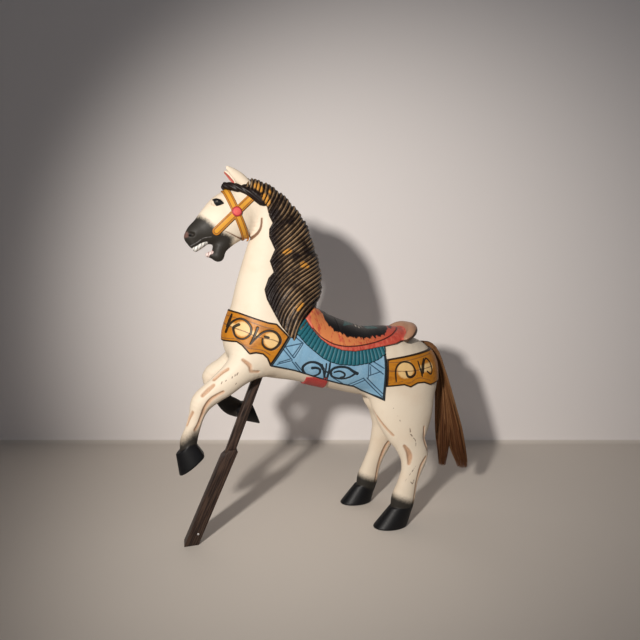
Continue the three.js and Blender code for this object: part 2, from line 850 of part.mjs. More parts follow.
// A frame whose Z runs from one point towards another, with X as near the world's X as that allows.
function frameAlong(from, to) {
  const z = to.clone().sub(from).normalize();
  const x = new THREE.Vector3(1, 0, 0).addScaledVector(z, -z.x).normalize();
  const y = new THREE.Vector3().crossVectors(z, x);
  return new THREE.Matrix4().makeBasis(x, y, z).setPosition(from);
}

function squareBar(width, chamfer, length) {
  const side = width / 2;
  const cut = side - chamfer;
  const section = new THREE.Shape([
    new THREE.Vector2(-cut, -side),
    new THREE.Vector2(cut, -side),
    new THREE.Vector2(side, -cut),
    new THREE.Vector2(side, cut),
    new THREE.Vector2(cut, side),
    new THREE.Vector2(-cut, side),
    new THREE.Vector2(-side, cut),
    new THREE.Vector2(-side, -cut),
  ]);
  return new THREE.ExtrudeGeometry(section, { depth: length, bevelEnabled: false });
}

const spot = (x, y, z) => new THREE.Vector3(x, y, z).multiplyScalar(share);

// The prop: a slim bar let into the belly and into a broader foot that is cut level with the ground.
const bellyPoint = spot(-270, -8, 346);
const solePoint = spot(-416, -20, 0);
const onFoot = spot(-332, -15, 190); // a point on its axis, which gives its slope
const shoulder = solePoint.clone().lerp(onFoot, FOOT_LENGTH / onFoot.z);
const rodDirection = bellyPoint.clone().sub(shoulder).normalize();
const rodStart = shoulder.clone().addScaledVector(rodDirection, -ROD_IN_FOOT);
const rodEnd = bellyPoint.clone().addScaledVector(rodDirection, ROD_IN_BELLY);
const rodFrame = frameAlong(rodStart, rodEnd);
const rodLength = rodEnd.distanceTo(rodStart);
const roomFrame = rodFrame.clone().multiply(new THREE.Matrix4().makeTranslation(0, 0, -FIT_GAP));
const rodRoom = squareBar(ROD_WIDTH + 2 * FIT_GAP, ROD_CHAMFER, rodLength + 2 * FIT_GAP);

function propFoot() {
  const across = new THREE.Vector3().subVectors(shoulder, solePoint);
  const slope = across.x / across.z;
  const level = (FOOT_WIDTH / 2) * Math.hypot(1, slope); // half the width where the foot is cut level
  const top = shoulder.z;
  const face = new THREE.Shape([
    new THREE.Vector2(-level, 0),
    new THREE.Vector2(level, 0),
    new THREE.Vector2(level + slope * (top - FOOT_CHAMFER), top - FOOT_CHAMFER),
    new THREE.Vector2(level + slope * top - FOOT_CHAMFER, top),
    new THREE.Vector2(slope * top - level + 2 * FOOT_CHAMFER, top),
    new THREE.Vector2(slope * (top - 3 * FOOT_CHAMFER) - level, top - 3 * FOOT_CHAMFER),
  ]);
  const board = new THREE.ExtrudeGeometry(face, { depth: FOOT_THICKNESS, bevelEnabled: false });
  board.rotateX(Math.PI / 2);
  board.translate(solePoint.x, (solePoint.y + shoulder.y) / 2 + FOOT_THICKNESS / 2, 0);
  return solidFrom(board, new THREE.Matrix4()).subtract(solidFrom(rodRoom, roomFrame));
}

// The tail's bound root in its hole in the rump
const tailHole = spot(118, 0, 408);
const tailLeaves = spot(146, 0, 408);
const rootLength = TAIL_ROOT_DEPTH + tailHole.distanceTo(tailLeaves);
function tailRoot(gap) {
  const radius = TAIL_ROOT_DIAMETER / 2 + gap;
  const root = new THREE.CylinderGeometry(radius, radius, rootLength + gap, 16);
  root.rotateX(Math.PI / 2);
  root.translate(0, 0, (rootLength - gap) / 2);
  const away = tailLeaves.clone().sub(tailHole).normalize();
  return solidFrom(root, frameAlong(tailHole.clone().addScaledVector(away, -TAIL_ROOT_DEPTH), tailLeaves));
}

function carved(field, low, high, wanted) {
  return solidOf(thin(polygonize(field, ...sized([low, high])), wanted));
}

const horse = carved(horseField, [-450, -105, 0], [175, 105, DRAWN_HEIGHT + 10], HORSE_TRIANGLES)
  .subtract(tailRoot(FIT_GAP))
  .subtract(solidFrom(rodRoom, roomFrame));
const tail = carved(tailField, [110, -40, 60], [290, 40, 435], TAIL_TRIANGLES).add(tailRoot(0));

// Finishes
const paint = new THREE.MeshStandardMaterial({ color: 0xe6dccb, roughness: 0.5, metalness: 0 });
const fibre = new THREE.MeshStandardMaterial({ color: 0x9a6f48, roughness: 0.75, metalness: 0 });
const stainedWood = new THREE.MeshStandardMaterial({ color: 0x2b1d18, roughness: 0.5, metalness: 0 });

function piece(name, geometry, material) {
  const mesh = new THREE.Mesh(geometry, material);
  mesh.name = name;
  return mesh;
}

const rod = piece("prop_rod", squareBar(ROD_WIDTH, ROD_CHAMFER, rodLength), stainedWood);
rod.applyMatrix4(rodFrame);

const figure = new THREE.Group();
figure.add(
  piece("horse", geometryOf(horse), paint),
  piece("tail", geometryOf(tail), fibre),
  rod,
  piece("prop_foot", geometryOf(propFoot()), stainedWood),
);

// The part's origin is on the ground, under the middle of the whole.
const extent = new THREE.Box3().setFromObject(figure, true);
const middle = extent.getCenter(new THREE.Vector3());
figure.position.set(-middle.x, -middle.y, -extent.min.z);

const part = new THREE.Group();
part.add(figure);

export default part;
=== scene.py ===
import math
from concurrent.futures import ThreadPoolExecutor

import bmesh
import bpy
import numpy as np
from mathutils import Matrix, Vector


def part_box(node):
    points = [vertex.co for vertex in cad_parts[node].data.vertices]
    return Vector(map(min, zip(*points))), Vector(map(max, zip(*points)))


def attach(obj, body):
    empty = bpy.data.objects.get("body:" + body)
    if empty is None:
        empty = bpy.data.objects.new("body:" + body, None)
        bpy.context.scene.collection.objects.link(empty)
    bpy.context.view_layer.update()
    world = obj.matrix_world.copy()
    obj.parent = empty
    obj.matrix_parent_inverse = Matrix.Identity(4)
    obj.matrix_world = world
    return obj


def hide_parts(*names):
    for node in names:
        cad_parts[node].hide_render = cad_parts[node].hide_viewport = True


bl_info = {
    "name": "Carousel Horse",
    "version": (1, 0, 0),
    "blender": (4, 5, 0),
    "location": "View3D > Sidebar > Horse",
    "description": "Makes a carved and painted carousel horse with its fibre tail and wooden prop",
    "category": "Add Mesh",
}

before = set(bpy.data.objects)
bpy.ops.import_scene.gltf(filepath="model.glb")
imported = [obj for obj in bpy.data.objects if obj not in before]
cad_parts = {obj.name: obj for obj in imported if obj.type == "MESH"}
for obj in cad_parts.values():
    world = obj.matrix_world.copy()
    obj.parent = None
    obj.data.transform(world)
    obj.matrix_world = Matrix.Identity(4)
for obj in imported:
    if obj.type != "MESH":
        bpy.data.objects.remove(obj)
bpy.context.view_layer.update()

# The figure was drawn in millimetres at this height, with its head to -X, its near side to -Y and its
# origin midway between the hind hooves. All stations below are in that drawing.
DRAWN_HEIGHT = 790.0
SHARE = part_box("horse")[1].z * 1000 / DRAWN_HEIGHT
FOOT_LOW, FOOT_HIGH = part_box("prop_foot")
FOOT_SOLE_X = -416.0
FOOT_MIDDLE_Y = -17.4
FOOT_WIDTH = 27.0
FOOT_SLOPE = 84.0 / 190.0
GRAIN_TILT = 0.42
ORIGIN_X = FOOT_LOW.x * 1000 - FOOT_SOLE_X * SHARE + FOOT_WIDTH / 2 * math.hypot(1, FOOT_SLOPE)
ORIGIN_Y = (FOOT_LOW.y + FOOT_HIGH.y) * 500 - FOOT_MIDDLE_Y * SHARE

# Drawn millimetres over the coat
STRAP_THICKNESS = 3.2
BLANKET_THICKNESS = 3.8
FRINGE_THICKNESS = 6.8
SADDLE_THICKNESS = 11.0
SADDLE_RIM = 5.0
BRIDLE_THICKNESS = 2.8
ROSETTE_DOME = 1.6
MANE_THICKNESS = 8.0

# How wide the saddle's edge slopes, how far a layer reaches under the skin, and how round its edge is
SADDLE_SLOPE = 10.0
LAYER_SUNK = 2.5
EDGE_ROUNDING = 1.6

BRIDLE_WIDTH = 16.0
ROSETTE = (-311, 697)
ROSETTE_RADIUS = 10.5

# The pleats fan out from a centre of the side view, and their pitch is measured at the fringe.
PLEAT_PITCH = 8.3
PLEAT_DEPTH = 2.6
PLEAT_CENTRE = (-50, 588)
PLEAT_RADIUS = 185

# Locks of the mane, and the broad tresses that they lie in
LOCK_PITCH = 9.4
LOCK_DEPTH = 3.2
TRESS_PITCH = 37.0
TRESS_DEPTH = 3.2

# A limb's distance is exact only within its reach, and no distance is over the far one.
REACH = 45.0
FAR = 200.0


def to_part(points):
    """Drawn millimetres to metres in the part's frame."""
    points = np.asarray(points, float) * SHARE
    return (points + np.array([ORIGIN_X, ORIGIN_Y, 0.0])) / 1000


# Distances to the carved forms, in drawn millimetres, negative inside
def blend(a, b, radius):
    """Two forms with a soft fillet between them."""
    near = np.maximum(radius - np.abs(a - b), 0) / radius
    return np.minimum(a, b) - near * near * (radius / 4)


def common(a, b, radius):
    """What two forms have in common, with a rounded edge."""
    return -blend(-a, -b, radius)


def smoothed(rows, steps=4):
    """A smooth line through rows of values."""
    rows = np.array(rows, float)
    line = []
    for i in range(len(rows) - 1):
        a, b, c, d = rows[max(i - 1, 0)], rows[i], rows[i + 1], rows[min(i + 2, len(rows) - 1)]
        for step in range(steps):
            t = step / steps
            bend = 2 * a - 5 * b + 4 * c - d + t * (3 * b - a - 3 * c + d)
            line.append(b + 0.5 * t * (c - a + t * bend))
    line.append(rows[-1])
    return np.array(line)


def oval(u, v, radius_u, radius_v):
    """Distance to an oval about the origin."""
    ratio = np.sqrt((u / radius_u) ** 2 + (v / radius_v) ** 2)
    steep = np.sqrt((u / radius_u ** 2) ** 2 + (v / radius_v ** 2) ** 2)
    middle = -np.minimum(radius_u, radius_v)
    return np.where(ratio < 0.05, middle, ratio * (ratio - 1) / np.maximum(steep, 1e-9))


def limb(stations, steps=4):
    """An oval body swept along stations x, y, z, radius in the side view and radius along Y."""
    rows = smoothed(stations, steps).tolist()
    low = np.array([min(row[k] - row[4 if k == 1 else 3] for row in rows) for k in range(3)], np.float32)
    high = np.array([max(row[k] + row[4 if k == 1 else 3] for row in rows) for k in range(3)], np.float32)

    def distance(points):
        away = np.maximum(low - points, points - high).max(1)
        near = away < REACH
        x, y, z = points[near].T
        nearest = np.full(len(x), FAR, np.float32)
        for (ax, ay, az, flat, wide), (bx, by, bz, next_flat, next_wide) in zip(rows[:-1], rows[1:]):
            dx, dy, dz = bx - ax, by - ay, bz - az
            square = dx * dx + dy * dy + dz * dz
            px, py, pz = x - ax, y - ay, z - az
            t = np.clip((px * dx + py * dy + pz * dz) / square, 0, 1)
            aside = np.hypot(px - t * dx, pz - t * dz)
            body = oval(aside, py - t * dy, flat + t * (next_flat - flat), wide + t * (next_wide - wide))
            np.minimum(nearest, body, out=nearest)
        away[near] = nearest
        return away
    return distance


def arch(stations):
    """Stations from the near side to the middle, with the same ones back on the far side."""
    return stations + [(x, -y, z, flat, wide) for x, y, z, flat, wide in stations[-2::-1]]


def outline(ring):
    """Distance to the edge of an outline in the side view."""
    def distance(points):
        x, z = points[:, 0], points[:, 2]
        nearest = np.full(len(x), FAR, np.float32)
        inside = np.zeros(len(x), bool)
        for (ax, az), (bx, bz) in zip(ring, ring[-1:] + ring[:-1]):
            dx, dz = bx - ax, bz - az
            t = np.clip(((x - ax) * dx + (z - az) * dz) / (dx * dx + dz * dz), 0, 1)
            np.minimum(nearest, np.hypot(x - ax - t * dx, z - az - t * dz), out=nearest)
            if dz:
                inside ^= ((az > z) != (bz > z)) & (x < dx * (z - az) / dz + ax)
        return np.where(inside, -nearest, nearest)
    return distance


def marks(*lines, wider=0.0):
    """Distance to painted lines of the side view, each with points x, z and a width."""
    def distance(points):
        x, z = points[:, 0], points[:, 2]
        nearest = np.full(len(x), FAR, np.float32)
        for line in lines:
            for (ax, az, width), (bx, bz, next_width) in zip(line[:-1], line[1:]):
                dx, dz = bx - ax, bz - az
                t = np.clip(((x - ax) * dx + (z - az) * dz) / (dx * dx + dz * dz), 0, 1)
                aside = np.hypot(x - ax - t * dx, z - az - t * dz) - (width + t * (next_width - width)) / 2
                np.minimum(nearest, aside, out=nearest)
        return nearest - wider / 2
    return distance


def curl(points, *widths):
    """A smooth painted line of the side view, its width running through the given widths."""
    rows = smoothed(points, 4)
    across = np.interp(np.linspace(0, 1, len(rows)), np.linspace(0, 1, len(widths)), widths)
    return [(x, z, width) for (x, z), width in zip(rows.tolist(), across.tolist())]


def mirrored(points):
    """The points, with the far side's folded onto positive Y like the near side's."""
    return np.stack([points[:, 0], np.abs(points[:, 1]), points[:, 2]], 1)


def hoof(place, turn, length, width, height, lean):
    """A hoof that tapers from its flat sole up to the coronet."""
    coronet, heel_cut, rounding = 0.7, 0.82, 4
    sin, cos = math.sin(math.radians(turn)), math.cos(math.radians(turn))

    def distance(points):
        x, y, z = points[:, 0] - place[0], points[:, 1] - place[1], points[:, 2] - place[2]
        up = x * sin + z * cos
        rise = np.clip(up / height, 0, 1)
        to_heel = x * cos - z * sin - lean * rise
        size = 1 + (coronet - 1) * rise
        around = oval(to_heel, y, length / 2 * size, width / 2 * size)
        body = common(around, to_heel - heel_cut * length / 2 * size, rounding)
        return np.maximum(common(body, -up, rounding), up - height)
    return distance


barrel = limb([
    (-274, 0, 428, 61, 50), (-235, 0, 425, 72, 62), (-165, 0, 408, 76, 73), (-90, 0, 384, 73, 76),
    (-30, 0, 368, 73, 76), (40, 0, 362, 78, 78), (82, 0, 345, 79, 74)
])
neck = limb([
    (-238, 0, 450, 89, 60), (-236, 0, 500, 85, 56), (-226, 0, 550, 82, 49), (-222, 0, 600, 71, 43),
    (-226, 0, 650, 52, 37), (-236, 0, 695, 42, 33), (-260, 0, 724, 34, 29), (-285, 0, 738, 26, 26)
])
head = limb([
    (-286, 0, 712, 42, 27), (-318, 0, 692, 52, 33), (-345, 0, 676, 43, 28), (-371, 0, 662, 30, 22),
    (-389, 0, 654, 22, 20), (-399, 0, 646, 17, 18)
])
jaw = limb([(-308, 0, 674, 28, 21), (-325, 0, 650, 20, 17), (-343, 0, 627, 15, 15), (-348, 0, 609, 13, 13)])
upper_lip = limb([(-382, 0, 642, 11, 15), (-396, 0, 634, 12, 15)])
upper_teeth = limb([(-366, 0, 641, 5, 11), (-380, 0, 632, 7, 12), (-393, 0, 623, 7, 12)])
lower_lip = limb([(-350, 0, 608, 8, 11), (-362, 0, 609, 6, 9)])
lower_teeth = limb([(-358, 0, 614, 6, 9), (-369, 0, 610, 5, 8)])
ear = limb([(-284, 17, 750, 11, 9), (-302, 18, 766, 12, 8), (-316, 20, 777, 9, 6), (-327, 22, 785, 5, 4)])
ear_hollow = limb([(-315, 16, 764, 5, 4), (-324, 18, 774, 5, 4), (-332, 20, 784, 3, 3)])
forelock = limb([
    (-331, 8, 752, 8, 9), (-313, 20, 748, 9, 8), (-293, 27, 741, 7, 7), (-277, 30, 734, 10, 8),
    (-258, 31, 722, 12, 8)
])
eye = limb([(-357, 21, 714, 4, 4), (-349, 24, 716, 7, 5), (-341, 25, 714, 4, 4)])
nostril = limb([(-407, 14, 652, 4, 4), (-399, 18, 650, 4, 4)])
near_foreleg = limb([
    (-268, -32, 405, 50, 30), (-300, -39, 380, 36, 28), (-320, -43, 364, 30, 25), (-343, -45, 345, 27, 22),
    (-366, -46, 329, 24, 20), (-388, -46, 311, 22, 20), (-399, -46, 285, 16, 15), (-408, -46, 257, 15, 14),
    (-416, -46, 233, 17, 16), (-418, -46, 216, 16, 16)
])
far_foreleg = limb([
    (-268, 32, 405, 50, 30), (-300, 39, 385, 34, 28), (-330, 43, 364, 27, 23), (-362, 45, 344, 22, 20),
    (-350, 45, 312, 17, 15), (-334, 45, 285, 18, 15), (-321, 45, 274, 20, 16), (-308, 45, 267, 19, 15)
])
near_hind_leg = limb([
    (60, -40, 300, 80, 38), (62, -49, 262, 70, 33), (64, -56, 228, 55, 28), (68, -60, 198, 39, 24),
    (81, -63, 160, 34, 20), (75, -65, 126, 25, 17), (67, -66, 103, 23, 16), (60, -66, 80, 25, 18),
    (54, -66, 60, 28, 20), (50, -66, 42, 26, 19)
])
far_hind_leg = limb([
    (64, 40, 300, 76, 38), (68, 49, 262, 58, 32), (66, 56, 228, 44, 27), (62, 60, 198, 33, 23),
    (56, 63, 160, 30, 20), (44, 65, 126, 24, 17), (34, 66, 103, 23, 16), (25, 66, 80, 24, 18),
    (19, 66, 60, 27, 20), (15, 66, 42, 25, 19)
])
cantle = limb(arch([
    (58, -64, 426, 7, 7), (75, -52, 438, 11, 10), (86, -30, 444, 14, 13), (91, 0, 444, 15, 14)
]))
pommel = limb(arch([(-164, -50, 462, 12, 12), (-152, -24, 477, 14, 14), (-150, 0, 482, 14, 14)]))
mane_bulk = limb([
    (-292, 0, 750, 20, 26), (-262, 0, 737, 28, 33), (-226, 0, 706, 37, 38), (-201, 0, 664, 47, 43),
    (-190, 0, 620, 52, 50), (-187, 0, 577, 62, 55), (-190, 0, 540, 67, 62), (-194, 0, 508, 52, 74),
    (-198, 0, 474, 32, 80), (-203, 0, 444, 10, 82)
])
hoof_forms = [
    hoof((22, -67, 0), 0, 84, 54, 44, 28), hoof((-12, 67, 0), 0, 84, 54, 44, 26),
    hoof((-408, -46, 182), -37, 70, 50, 40, 12), hoof((-268, 45, 259), -111, 66, 46, 38, 18)
]

# Outlines in the side view
saddle_edge = outline([
    (-176, 478), (-162, 455), (-145, 434), (-127, 420), (-99, 409), (-70, 405), (-33, 408), (5, 413),
    (32, 417), (52, 424), (71, 432), (84, 444), (104, 450), (104, 500), (-100, 500), (-122, 492),
    (-150, 500)
])
fringe_edge = outline([
    (-199, 450), (-177, 424), (-160, 409), (-142, 394), (-125, 385), (-107, 379), (-71, 375), (-34, 379),
    (-15, 386), (3, 397), (3, 440), (-180, 490)
])
blanket_edge = outline([
    (-212, 442), (-251, 380), (-200, 367), (-145, 347), (-101, 333), (-66, 324), (-45, 312), (4, 290),
    (3, 440), (-180, 490)
])
breast_strap_edge = outline([
    (-370, 500), (-335, 498), (-311, 492), (-281, 481), (-254, 472), (-237, 469), (-212, 442), (-251, 380),
    (-258, 397), (-267, 406), (-281, 409), (-294, 407), (-308, 424), (-318, 431), (-370, 430)
])
rump_strap_edge = outline([
    (5, 385), (66, 392), (180, 404), (180, 330), (112, 321), (94, 328), (77, 328), (60, 320), (44, 326),
    (5, 323)
])
cinch_edge = outline([(-170, 350), (-170, 290), (-124, 290), (-124, 350)])
mane_edge = outline([
    (-262, 725), (-249, 709), (-245, 691), (-238, 676), (-245, 664), (-246, 648), (-235, 621), (-246, 597),
    (-239, 574), (-250, 562), (-259, 538), (-255, 518), (-242, 491), (-228, 463), (-203, 432), (-169, 466),
    (-100, 535), (-100, 700), (-230, 800), (-300, 790), (-300, 748)
])
bridle_straps = marks(
    [(-333, 745, BRIDLE_WIDTH), (-291, 646, BRIDLE_WIDTH)],
    [(-277, 731, BRIDLE_WIDTH), (-352, 657, BRIDLE_WIDTH + 1)]
)
rosette_edge = marks([(*ROSETTE, 2 * ROSETTE_RADIUS), (ROSETTE[0], ROSETTE[1] + 0.01, 2 * ROSETTE_RADIUS)])
muzzle_edge = outline([
    (-440, 690), (-384, 688), (-369, 679), (-356, 666), (-344, 658), (-331, 652), (-317, 647), (-320, 625),
    (-330, 590), (-440, 580)
])
eye_edge = outline([
    (-359, 723), (-350, 725), (-343, 721), (-335, 713), (-344, 709), (-351, 707), (-356, 713)
])
seat_edge = outline([
    (-137, 545), (-135, 488), (-120, 457), (-102, 444), (-80, 435), (-39, 429), (-1, 432), (30, 446),
    (56, 455), (68, 472), (68, 545)
])

# Painted and carved lines in the side view
cheek_line = marks(
    curl([(-259, 686), (-261, 668), (-268, 655), (-280, 645)], 2.6, 4.2, 5.6),
    curl([(-280, 645), (-303, 645), (-321, 652), (-333, 657)], 3.6, 2.0, 0.8)
)
# The painted highlight along the edge of the upper lip
lip_highlight_line = marks(curl([(-404, 627), (-391, 634), (-378, 643), (-362, 646)], 1.4, 1.8, 1.0))
strap_marks = marks(
    curl([(-312, 467), (-322, 461), (-322, 451), (-318, 442), (-307, 438), (-297, 442), (-290, 450),
        (-289, 462), (-297, 474), (-307, 479), (-316, 477), (-324, 472), (-332, 462),
        (-337, 450)], 4.6, 2.6, 2.6, 3.4, 2.6, 3.0),
    curl([(-324, 487), (-329, 474), (-335, 461)], 2.0, 3.8, 1.2),
    curl([(-291, 428), (-279, 441), (-267, 451), (-252, 455), (-238, 449), (-231, 435), (-237, 423),
        (-249, 416), (-261, 420), (-267, 428), (-267, 438)], 1.6, 3.2, 3.6, 5.0, 3.8, 3.4, 2.6),
    curl([(-276, 461), (-282, 447), (-292, 428)], 4.4, 3.6, 1.4),
    curl([(-262, 443), (-255, 441)], 3.6, 3.6),
    curl([(26, 336), (24, 356), (27, 368), (36, 376), (48, 378), (62, 373), (70, 362), (71, 351), (62, 344),
        (53, 346), (49, 356)], 2.0, 2.8, 2.6, 3.0, 4.4, 3.6),
    curl([(81, 377), (85, 360), (90, 343)], 1.8, 2.4, 1.6),
    curl([(98, 381), (91, 365), (89, 346)], 1.8, 3.0, 3.6),
    curl([(93, 351), (97, 371), (105, 381), (115, 372), (119, 354), (114, 346),
        (104, 353)], 2.8, 2.2, 2.8, 2.2), wider=1.2
)
strap_trim = marks(
    curl([(-339, 467), (-322, 460), (-303, 454), (-285, 446), (-270, 441), (-249, 437),
        (-230, 429)], 2.2, 2.2),
    curl([(-344, 487), (-313, 479), (-291, 473), (-261, 462), (-244, 459)], 1.8, 2.2),
    curl([(-344, 437), (-322, 438), (-313, 435), (-299, 422), (-288, 419), (-267, 415),
        (-252, 405)], 1.6, 2.0), curl([(5, 360), (53, 357), (88, 359), (120, 363)], 2.0, 2.0),
    curl([(9, 378), (32, 378), (59, 381), (104, 387), (125, 390)], 1.6, 1.8),
    curl([(9, 331), (42, 335), (56, 330), (72, 339), (88, 340), (112, 332)], 1.6, 1.8)
)
scroll_grounds = marks(
    [(-306, 458, 33), (-305, 458, 33)], [(-249, 436, 35), (-248, 435, 35)],
    [(-327, 467, 12), (-279, 447, 16)], [(47, 361, 42), (48, 361, 42)], [(88, 360, 18), (112, 362, 24)]
)
blanket_marks = marks(
    curl([(-139, 370), (-146, 380), (-159, 386), (-172, 385), (-181, 378), (-182, 371), (-177, 362),
        (-169, 355), (-156, 354), (-146, 360), (-146, 369), (-153, 373),
        (-162, 373)], 5.0, 3.8, 4.2, 3.0, 3.2, 3.2, 5.0),
    curl([(-64, 357), (-74, 363), (-86, 371), (-103, 374), (-118, 370), (-122, 361), (-116, 351),
        (-96, 346), (-81, 349), (-70, 356)], 6.0, 3.6, 4.4, 3.0, 2.6, 3.6),
    curl([(-114, 362), (-103, 364), (-92, 358), (-92, 351), (-99, 349)], 2.6, 2.6, 3.4),
    [(-142, 380, 2.0), (-132, 346, 3.4)], [(-133, 382, 1.6), (-134, 348, 2.0)],
    [(-125, 383, 2.4), (-128, 345, 3.4)], [(-138, 366, 1.6), (-120, 359, 2.0)], wider=1.4
)
blanket_lines = marks(*[[(*a, 1.9), (*b, 1.9)] for a, b in [
    ((-38, 377), (-38, 345)), ((-34, 371), (-33, 352)), ((-37, 378), (-4, 353)), ((-26, 381), (-3, 366)),
    ((-36, 351), (-10, 359)), ((-48, 345), (-2, 300)), ((-41, 346), (-2, 308)), ((-48, 346), (-78, 331)),
    ((-46, 340), (-72, 327)), ((-114, 348), (-92, 334)), ((-220, 420), (-203, 397)),
    ((-224, 415), (-206, 393)), ((-183, 427), (-202, 397)), ((-189, 424), (-206, 400)),
    ((-236, 384), (-206, 391)), ((-233, 388), (-208, 395)), ((-205, 388), (-184, 362)),
    ((-199, 387), (-181, 365)), ((-203, 444), (-183, 427)), ((-222, 421), (-186, 427))
]])
saddle_line = marks(
    curl([(-160, 457), (-150, 445), (-140, 436), (-118, 424), (-93, 418), (-67, 417), (-38, 419), (-8, 424),
        (22, 433), (49, 445), (66, 452)], 2.6, 2.4, 2.2, 1.6)
)
seat_leaves = marks(
    curl([(-84, 459), (-68, 463), (-54, 459)], 2, 9, 2), curl([(-26, 449), (-10, 452), (4, 449)], 2, 9, 2)
)
seat_buds = marks(
    [(-50, 455, 3.4), (-47, 459, 2)], [(-43, 452, 3.4), (-40, 455, 2)], [(-36, 456, 3), (-34, 452, 3.4)],
    [(-29, 456, 2.4), (-28, 459, 2.4)]
)
saddle_top = outline([
    (-164, 463), (-150, 445), (-140, 436), (-118, 424), (-93, 418), (-67, 417), (-38, 419), (-8, 424),
    (22, 433), (49, 445), (66, 452), (66, 545), (-164, 545)
])
gold_spots = marks(
    [(-269, 751, 17), (-261, 744, 15)], [(-254, 728, 17), (-246, 716, 13)],
    [(-243, 741, 9), (-241, 737, 9)], [(-215, 616, 13), (-204, 619, 11)],
    [(-177, 590, 16), (-168, 587, 12)], [(-193, 499, 13), (-185, 508, 12)]
)
scratches = marks(
    [(59, 232, 1), (61, 215, 2.2)], [(61, 215, 2.4), (75, 197, 1.6), (75, 184, 0.8)],
    [(77, 139, 1.6), (64, 121, 1.2), (52, 105, 0.8)], [(73, 107, 1), (69, 97, 2), (64, 104, 1)],
    [(-316, 373, 1), (-320, 366, 2)], [(-322, 370, 1), (-324, 364, 2)],
    [(-328, 364, 1.6), (-330, 360, 1.6)], [(-341, 357, 2), (-342, 355, 2)],
    [(-349, 354, 1.4), (-351, 349, 1.4)], [(-320, 350, 1.6), (-323, 346, 1)],
    [(13, 264, 1.4), (15, 265, 2.2)], [(22, 273, 2), (23, 274, 2)], [(28, 260, 1.2), (32, 257, 1.6)],
    [(40, 252, 1.6), (42, 250, 1.6)], [(36, 247, 1.4), (38, 244, 1.4)], [(62, 221, 2), (66, 224, 1)]
)

# The locks of the mane run along these lines, each with its place along the crest.
LOCK_GUIDES = [
    (59, [(-233, 739), (-245, 726), (-250, 720)]), (87, [(-216, 718), (-232, 698), (-237, 687)]),
    (102, [(-203, 712), (-216, 697), (-228, 679)]),
    (126, [(-183, 700), (-198, 686), (-213, 674), (-232, 649)]),
    (136, [(-180, 690), (-198, 674), (-214, 658), (-226, 641)]),
    (146, [(-175, 683), (-189, 668), (-208, 654), (-219, 638), (-223, 626)]),
    (178, [(-161, 656), (-180, 639), (-198, 631), (-214, 618), (-224, 607)]),
    (226, [(-146, 609), (-167, 597), (-185, 587), (-203, 575), (-217, 562), (-228, 548), (-238, 532)]),
    (252, [(-144, 584), (-165, 572), (-184, 561), (-203, 548), (-217, 535), (-228, 521), (-234, 507)]),
    (284, [(-138, 557), (-156, 546), (-175, 534), (-191, 522), (-206, 508), (-217, 495), (-223, 482)]),
    (308, [(-134, 536), (-153, 524), (-170, 516), (-183, 504), (-195, 489), (-203, 475), (-210, 461)]),
    (318, [(-139, 526), (-156, 512), (-170, 502), (-182, 488), (-189, 477), (-197, 463), (-201, 449)])
]


def powers(x, z):
    x, z = (np.asarray(x, float) + 190) / 80, (np.asarray(z, float) - 600) / 150
    return np.stack([x ** i * z ** j for i in range(4) for j in range(4 - i)], -1)


def lock_surface():
    """A smooth surface over the side view that keeps its height along each guide."""
    spots = [(*spot, number) for number, line in LOCK_GUIDES for spot in line]
    x, z, numbers = np.array(spots).T
    rows = powers(x, z)
    return np.linalg.solve(rows.T @ rows + 0.005 * np.eye(rows.shape[1]), rows.T @ numbers)


LOCK_SURFACE = lock_surface()


def lock_number(points):
    """The same along one lock of the mane, and a millimetre more for each one along the crest."""
    x = np.clip(points[:, 0], -290, -110)
    z = np.clip(points[:, 2], 425, 775)
    wobble = 1.3 * np.sin(0.045 * x + 0.021 * z) + 0.8 * np.sin(0.11 * z - 0.05 * x)
    return (powers(x, z) @ LOCK_SURFACE + wobble).astype(np.float32)


def face(points, side):
    form = blend(head(points), jaw(points), 7)
    form = blend(form, upper_lip(points), 5)
    form = blend(blend(form, lower_lip(points), 4), lower_teeth(points), 2)
    form = blend(form, upper_teeth(points), 1.5)
    form = blend(form, eye(side), 3)
    return common(form, -nostril(side), 3)


def trunk(points):
    return blend(barrel(points), neck(points), 44)


def body(points):
    """The bare horse, without grooves."""
    side = mirrored(points)
    form = blend(trunk(points), near_foreleg(points), 18)
    form = blend(form, far_foreleg(points), 18)
    form = blend(form, near_hind_leg(points), 26)
    form = blend(form, far_hind_leg(points), 26)
    form = blend(form, face(points, side), 12)
    return blend(form, common(ear(side), -ear_hollow(side), 2), 5)


def groove(start, way, line, depth=1.0):
    """A hollow along the skin: its line in the side view is carried along Y from the start onto the body."""
    rows = np.array([row[:2] for row in line], float)
    reach = np.arange(0, 130, 1.0)
    stations = []
    for (x, z), (_, _, radius) in zip(rows, line):
        ray = np.array([(x, start + way * step, z) for step in reach], np.float32)
        hit = np.argmax(body(ray) < 0)
        if hit or body(ray[:1])[0] < 0:
            stations.append((x, ray[hit, 1] - way * radius * (1 - depth), z, radius, radius))
    return limb(stations, 3)


